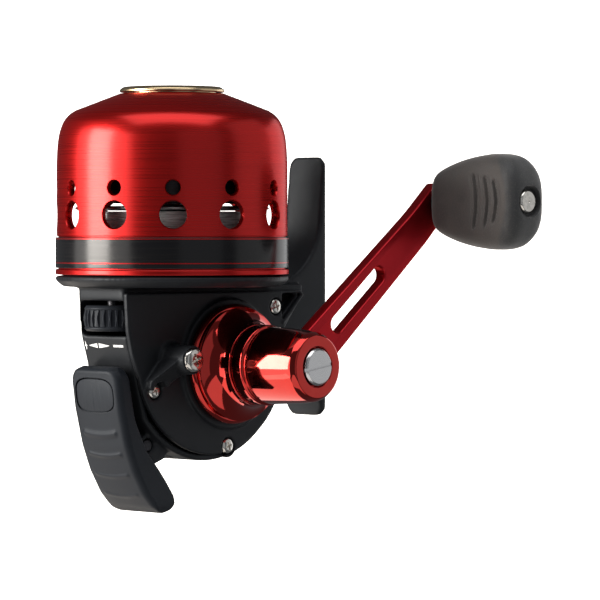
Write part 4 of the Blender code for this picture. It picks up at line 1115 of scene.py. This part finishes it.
def lever_ridge(x, a):
    """The grip's four low ridges, whose middles bow toward the lever's rear."""
    raised, reach = 0.0, 6.3
    for middle, half_width, height in LEVER_RIDGES:
        across = (x - middle + 0.7 * (1 - (a / reach) ** 2)) / half_width
        fade = min(1.0, max(0.0, (reach - abs(a)) / 0.9))
        raised = max(raised, height * fade * math.exp(-across * across))
    return raised


def make_lever():
    """The rocker: a crowned shell with ridges, a finger that pushes the thrust cap, and an inset pad."""
    side = LEVER_HALF_WIDTH
    lever = side_prism("thumb_rocker", lever_side(), -side - 1, side + 1)
    plan = oblong(LEVER_FRONT + 0.2, -56.0, side, LEVER_CORNER, 3.5, 10)
    keep_inside(lever, prism("lever_plan", plan, ON_AXIS, UPWARD, 0, 40))
    hollow = [(-21.5, 10.0), (-21.5, 24.2), (-29.0, 23.2), (-38.5, 20.8), (-44.0, 18.3)]
    hollow += [(-47.0, 16.1), (-47.0, 5.0)]
    cut(lever, side_prism("lever_hollow", hollow, -7.3, 7.3))
    rest = extent("thrust_cap")[0].x - 1.7
    finger = [(-35.2, 23.0), (-35.6, 13.0), (-36.4, 9.0)]
    finger += arc((rest, 0.0), 1.3, -10, -170, 12) + [(-40.4, 9.0), (-41.4, 13.0), (-42.2, 20.4)]
    join(lever, side_prism("lever_finger", finger, -2.4, 2.4))
    cut(lever, cylinder("lever_pin_bore", 1.75, -5, 5, ON_LEVER_PIN, CRANKWARD))
    soften(lever, 0.26, 4)
    in_frame(lever)
    skin = 2.2
    for vert in lever.data.vertices:
        x, a, u = design(vert.co)
        near_top = min(1.0, max(0.0, 1 - (lever_top(x) - u) / skin))
        vert.co.z += near_top * (lever_ridge(x, a) - lever_crown(x, a)) * MM
    pad_top = lever_top(PAD_X)
    floor = pad_top - 1.05
    cut(lever, prism("pad_pocket", pad_outline(0.3), ON_AXIS, DOWNWARD, -40, -floor))
    show(lever, DARK_PLASTIC, "lever", ["thumb_lever"], 50)
    low, high = 0.1 - pad_top, -floor - 0.03
    pad = in_frame(prism("rocker_pad", pad_outline(0.0), ON_AXIS, DOWNWARD, low, high, edge=0.25))
    sliced(pad, Vector((0, 1, 0)), [0.5 * step for step in range(-13, 14)])
    for vert in pad.data.vertices:
        x, a, u = design(vert.co)
        if u > floor + 0.4:
            vert.co.z += (lever_top(x) - pad_top - lever_crown(x, a)) * MM
    show(pad, DARK_PLASTIC, "lever", ["lever_pad"], 40)


def make_pin(name, node, body, point, facing, radius, first, last):
    """A plain black pin in the place of a node, with a small round at each end."""
    profile = [(0, first), (radius, first, 0.3), (radius, last, 0.3), (0, last)]
    show(turned(name, profile, point, facing, 48, 0.3, 5), BLACK_OXIDE, body, [node], 40)


# Drag wheel


def rib_outline():
    """The wheel's ribbed rim: round bars side by side."""
    ribs, per_rib, depth = 27, 14, 0.8
    outline = []
    for index in range(ribs * per_rib):
        turn = 2 * math.pi * index / (ribs * per_rib)
        wave = abs(math.sin(turn * ribs / 2)) ** 3
        radius = WHEEL_RADIUS - 0.02 - depth * (1 - wave)
        outline.append((radius * math.cos(turn), radius * math.sin(turn)))
    return outline


def make_wheel():
    """The drag wheel, a barrel with ribs between two plain lips."""
    rear, front = WHEEL_REAR, WHEEL_FRONT
    bore, core, lip = 1.9, 6.85, 7.3
    profile = [
        (bore, front, 0.1), (6.7, front, 0.5), (lip, front - 0.75, 0.5), (core, front - 1.2, 0.15),
        (core, rear + 1.2, 0.15), (lip, rear + 0.75, 0.5), (6.7, rear, 0.5), (bore, rear, 0.1),
    ]
    wheel = turned("star_wheel", profile, ON_WHEEL, FORWARD, 160, 0.2, 6)
    low, high, edge = rear + 0.95, front - 0.95, 7.1
    ribs = prism("ribs", rib_outline(), ON_WHEEL, FORWARD, low, high)
    barrel = [(0, high), (edge, high, 0.3), (WHEEL_RADIUS, (rear + front) / 2, 4.0)]
    barrel += [(edge, low, 0.3), (0, low)]
    keep_inside(ribs, turned("barrel", barrel, ON_WHEEL, FORWARD, 160, 0.5, 10))
    cut(ribs, cylinder("hollow", 5.0, rear + 0.5, front - 0.5, ON_WHEEL, FORWARD))
    join(wheel, ribs)
    show(wheel, DARK_PLASTIC, "drag_body", ["drag_wheel"], 45)


# What shows through the cover's holes and its nose


def make_spinner():
    low, high = extent("spinner_head")
    rear, front, radius = low.x, high.x, high.y
    bore, boss, wall = 1.75, 4.2, 23.0
    profile = [
        (bore, front - 1.0, 0.1), (5.5, front - 1.0, 0.6), (7.0, front, 0.8), (16.0, front, 2.0),
        (20.0, front - 0.4, 3.0), (22.9, front - 2.2, 2.0), (23.6, front - 4.4, 1.0),
        (radius, front - 6.0, 1.0), (radius, rear + 0.8, 0.4), (23.4, rear, 0.3),
        (wall, rear + 0.8, 0.2), (wall, front - 6.0, 1.0), (22.0, front - 3.2, 1.5),
        (19.0, front - 1.5, 1.0), (boss, front - 1.5, 0.3), (boss, front - 9.0, 0.3),
        (bore, front - 9.0, 0.1),
    ]
    head = turned("pickup_head", profile, ON_AXIS, FORWARD, 144, 0.2, 5)
    pin_x = centre_of("pickup_pin_near")[0]
    drills = [
        spun_tool(cylinder("pin_hole", 1.15, 20.0, 28.0, Vector(), UPWARD), pin_x, turn)
        for turn in (-90, 90)
    ]
    # The pickup head's dark colour is painted shade from inside the cover
    show(cut(head, *drills), SPINNER_PAINTED_SHADE, "spinner", ["spinner_head"], 35)
    low, high = extent("rim_ring")
    profile = [
        (24.0, high.x, 0.2), (24.8, high.x - 0.3, 0.4), (high.y, high.x - 1.0, 0.5),
        (24.9, low.x + 0.5, 0.3), (24.6, low.x, 0.2), (24.0, low.x + 1.5, 0.2),
    ]
    ring = turned("bumper_ring", profile, ON_AXIS, FORWARD, 128, 0.2, 5)
    show(ring, MATT_RUBBER, "spinner", ["rim_ring"], 40)
    low, high = extent("spinner_nut")
    hexagon = [(high.y * x, high.y * u) for x, u in arc((0, 0), 1.0, 0, 360, 6)[:-1]]
    hole = arc((0, 0), bore, 360, 0, 36)[:-1]
    nut = prism("head_nut", rounded(hexagon, 0.2, 3), ON_AXIS, FORWARD, low.x, high.x, (hole,), 0.2)
    show(nut, BRASS, "spinner", ["spinner_nut"], 30)
    low, high = extent("centre_shaft")
    profile = [(0, high.x), (high.y, high.x, 0.5), (high.y, low.x, 0.3), (0, low.x)]
    shaft = turned("head_shaft", profile, ON_AXIS, FORWARD, 48, 0.3, 5)
    show(shaft, STEEL, "spinner", ["centre_shaft"], 40)


def make_spring():
    """The coil behind the pinion, which the thumb lever squeezes against its fixed front end."""
    wire, turns, per_turn, travel = 0.25, 6, 28, 3.4
    low, high = extent("return_spring")
    radius = (high.z - low.z) / 2 - wire
    rear, front = low.x + wire, high.x - wire
    curve = bpy.data.curves.new("coil", "CURVE")
    curve.dimensions = "3D"
    curve.bevel_depth = wire * MM
    curve.bevel_resolution = 2
    curve.use_fill_caps = True
    count = turns * per_turn
    spline = curve.splines.new("POLY")
    spline.points.add(count)
    for index, spot in enumerate(spline.points):
        turn = 2 * math.pi * index / per_turn
        x = rear + (front - rear) * index / count
        spot.co = (*place(x, radius * math.sin(turn), radius * math.cos(turn)), 1)
    spring = add_object("return_coil", mesh_of(curve))
    show(spring, STEEL, "frame", ["return_spring"], 60)
    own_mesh(spring)


# The pieces that stay as the CAD has them

CAD_FINISHES = {
    STEEL: (
        "drag_plate", "spool_clip", "pawl_pin", "crank_shaft", "gear_clip",
        "ratchet_wheel", "anti_reverse_pawl", "pickup_pin_near", "pickup_pin_far",
    ),
    BRASS: (
        "pinion_bushing_rear", "pinion_bushing_front", "crank_bushing_outer", "crank_bushing_inner",
        "drive_gear", "pinion_gear",
    ),
    NYLON: ("drag_washer", "thrust_cap"),
}


def finish_cad_nodes():
    """Better materials for the sealed inner pieces, whose CAD shapes are right as they are."""
    for surface, names in CAD_FINISHES.items():
        for name in names:
            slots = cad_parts[name].data.materials
            slots.clear()
            slots.append(surface)


# Studio

AIM = place(15, 20, -5)
CAMERA_DISTANCE = 900


def camera_axes():
    """The camera's right, up and backward directions: nearly level with the nose, above the crank side."""
    turn, pitch = math.radians(44.467), math.radians(1.146)
    level = Vector((0, -math.sin(turn), math.cos(turn)))
    nose = Vector((1, 0, 0))
    up = nose * math.cos(pitch) - level * math.sin(pitch)
    back = level * math.cos(pitch) + nose * math.sin(pitch)
    return up.cross(back), up, back


def frame_matrix(right, up, back, point):
    made = Matrix((right, up, back)).transposed().to_4x4()
    made.translation = point
    return made


def make_camera():
    swing = math.radians(46.5)
    eye = place(15, CAMERA_DISTANCE * math.sin(swing), CAMERA_DISTANCE * math.cos(swing))
    lens = bpy.data.cameras.new("camera")
    lens.sensor_width = 36
    lens.lens = 216
    bpy.context.scene.camera = add_object("camera", lens, frame_matrix(*camera_axes(), eye))


def softbox(name, azimuth, elevation, width, height, radiance, colour=(1, 1, 1), distance=0.8):
    """A rectangular light that faces the reel. The azimuth runs right from the camera's side.

    The width and the height are angles, in degrees like the place.
    """
    right, up, back = camera_axes()
    turn, rise = math.radians(azimuth), math.radians(elevation)
    level = right * math.sin(turn) + back * math.cos(turn)
    direction = level * math.cos(rise) + up * math.sin(rise)
    side = right * math.cos(turn) - back * math.sin(turn)
    lamp = bpy.data.lights.new(name, "AREA")
    lamp.shape = "RECTANGLE"
    lamp.size = 2 * distance * math.tan(math.radians(width / 2))
    lamp.size_y = 2 * distance * math.tan(math.radians(height / 2))
    lamp.energy = radiance * math.pi * lamp.size * lamp.size_y
    lamp.color = colour
    add_object(name, lamp, frame_matrix(side, direction.cross(side), direction, AIM + direction * distance))


def make_floor():
    """A wide pale disc well below the reel, with the faint unevenness of painted board."""
    centre = Vector((0.02, 0.06, -0.13))
    profile = [(0.0, 0.0), (390.0, 0.0, 0.0), (398.0, -1.0, 3.0), (400.0, -4.0, 0.0), (0.0, -4.0)]
    floor = turned("floor", profile, centre, UPWARD, 96, 1.0, 4)
    glow = {"Emission_Color": (1, 1, 1, 1), "Emission_Strength": 0.55}
    paint = Surface("floor_paint", (0.9, 0.9, 0.9), 0.7, **glow)
    paint.vary_roughness(paint.noise(30.0, 3.0), 0.06)
    floor.data.materials.append(paint.material)
    floor.visible_glossy = False
    floor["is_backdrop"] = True


def make_world():
    """A dim cool light all round, which the camera sees as plain white."""
    world = bpy.data.worlds.new("studio")
    world.use_nodes = True
    tree = world.node_tree
    lit, seen = tree.nodes["Background"], tree.nodes.new("ShaderNodeBackground")
    for sky, colour, strength in ((lit, (0.9, 0.95, 1.0, 1), 0.1), (seen, (1, 1, 1, 1), 1.0)):
        sky.inputs["Color"].default_value = colour
        sky.inputs["Strength"].default_value = strength
    mix = tree.nodes.new("ShaderNodeMixShader")
    path = tree.nodes.new("ShaderNodeLightPath")
    tree.links.new(path.outputs["Is Camera Ray"], mix.inputs["Fac"])
    tree.links.new(lit.outputs["Background"], mix.inputs[1])
    tree.links.new(seen.outputs["Background"], mix.inputs[2])
    tree.links.new(mix.outputs["Shader"], tree.nodes["World Output"].inputs["Surface"])
    bpy.context.scene.world = world


def light_studio():
    softbox("left_box", -74, -4, 68, 58, 1.9, (1.0, 0.96, 0.92))
    softbox("left_core", -76, 8, 26, 34, 16.0, (1.0, 0.95, 0.88), 0.78)
    softbox("lower_left", -112, -50, 84, 50, 1.5, (1.0, 0.9, 0.8), 0.82)
    softbox("low_front", 15, -48, 66, 38, 0.8, (1.0, 0.95, 0.9))
    softbox("top_box", 0, 66, 70, 42, 1.9)
    softbox("right_fill", 30, 5, 44, 50, 0.24, (0.95, 0.97, 1.0), 1.1)
    softbox("right_side", 92, 6, 50, 70, 0.42)
    softbox("right_back", 138, 0, 40, 44, 1.1)
    bpy.context.scene.view_settings.view_transform = "Standard"


make_cover()
make_band()
make_nozzle()
make_spool()
make_winding()
make_body()
make_marks()
make_plate()
for number, node in enumerate((*PLATE_SCREWS, "post_screw"), 1):
    make_pan_screw(node, f"pan_screw_{number}")
make_flange()
make_hub()
make_arm()
make_handle_screw()
make_knob()
make_knob_rivet()
make_lever()
make_pin("rocker_pin", "lever_pin", "frame", ON_LEVER_PIN, CRANKWARD, *across_reel("lever_pin"))
make_wheel()
low, high = extent("drag_screw")
make_pin(
    "drag_spindle", "drag_screw", "drag_body", ON_WHEEL, FORWARD, (high.z - low.z) / 2, high.x, low.x
)
make_spinner()
make_spring()
finish_cad_nodes()
make_camera()
make_world()
make_floor()
light_studio()

low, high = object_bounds()
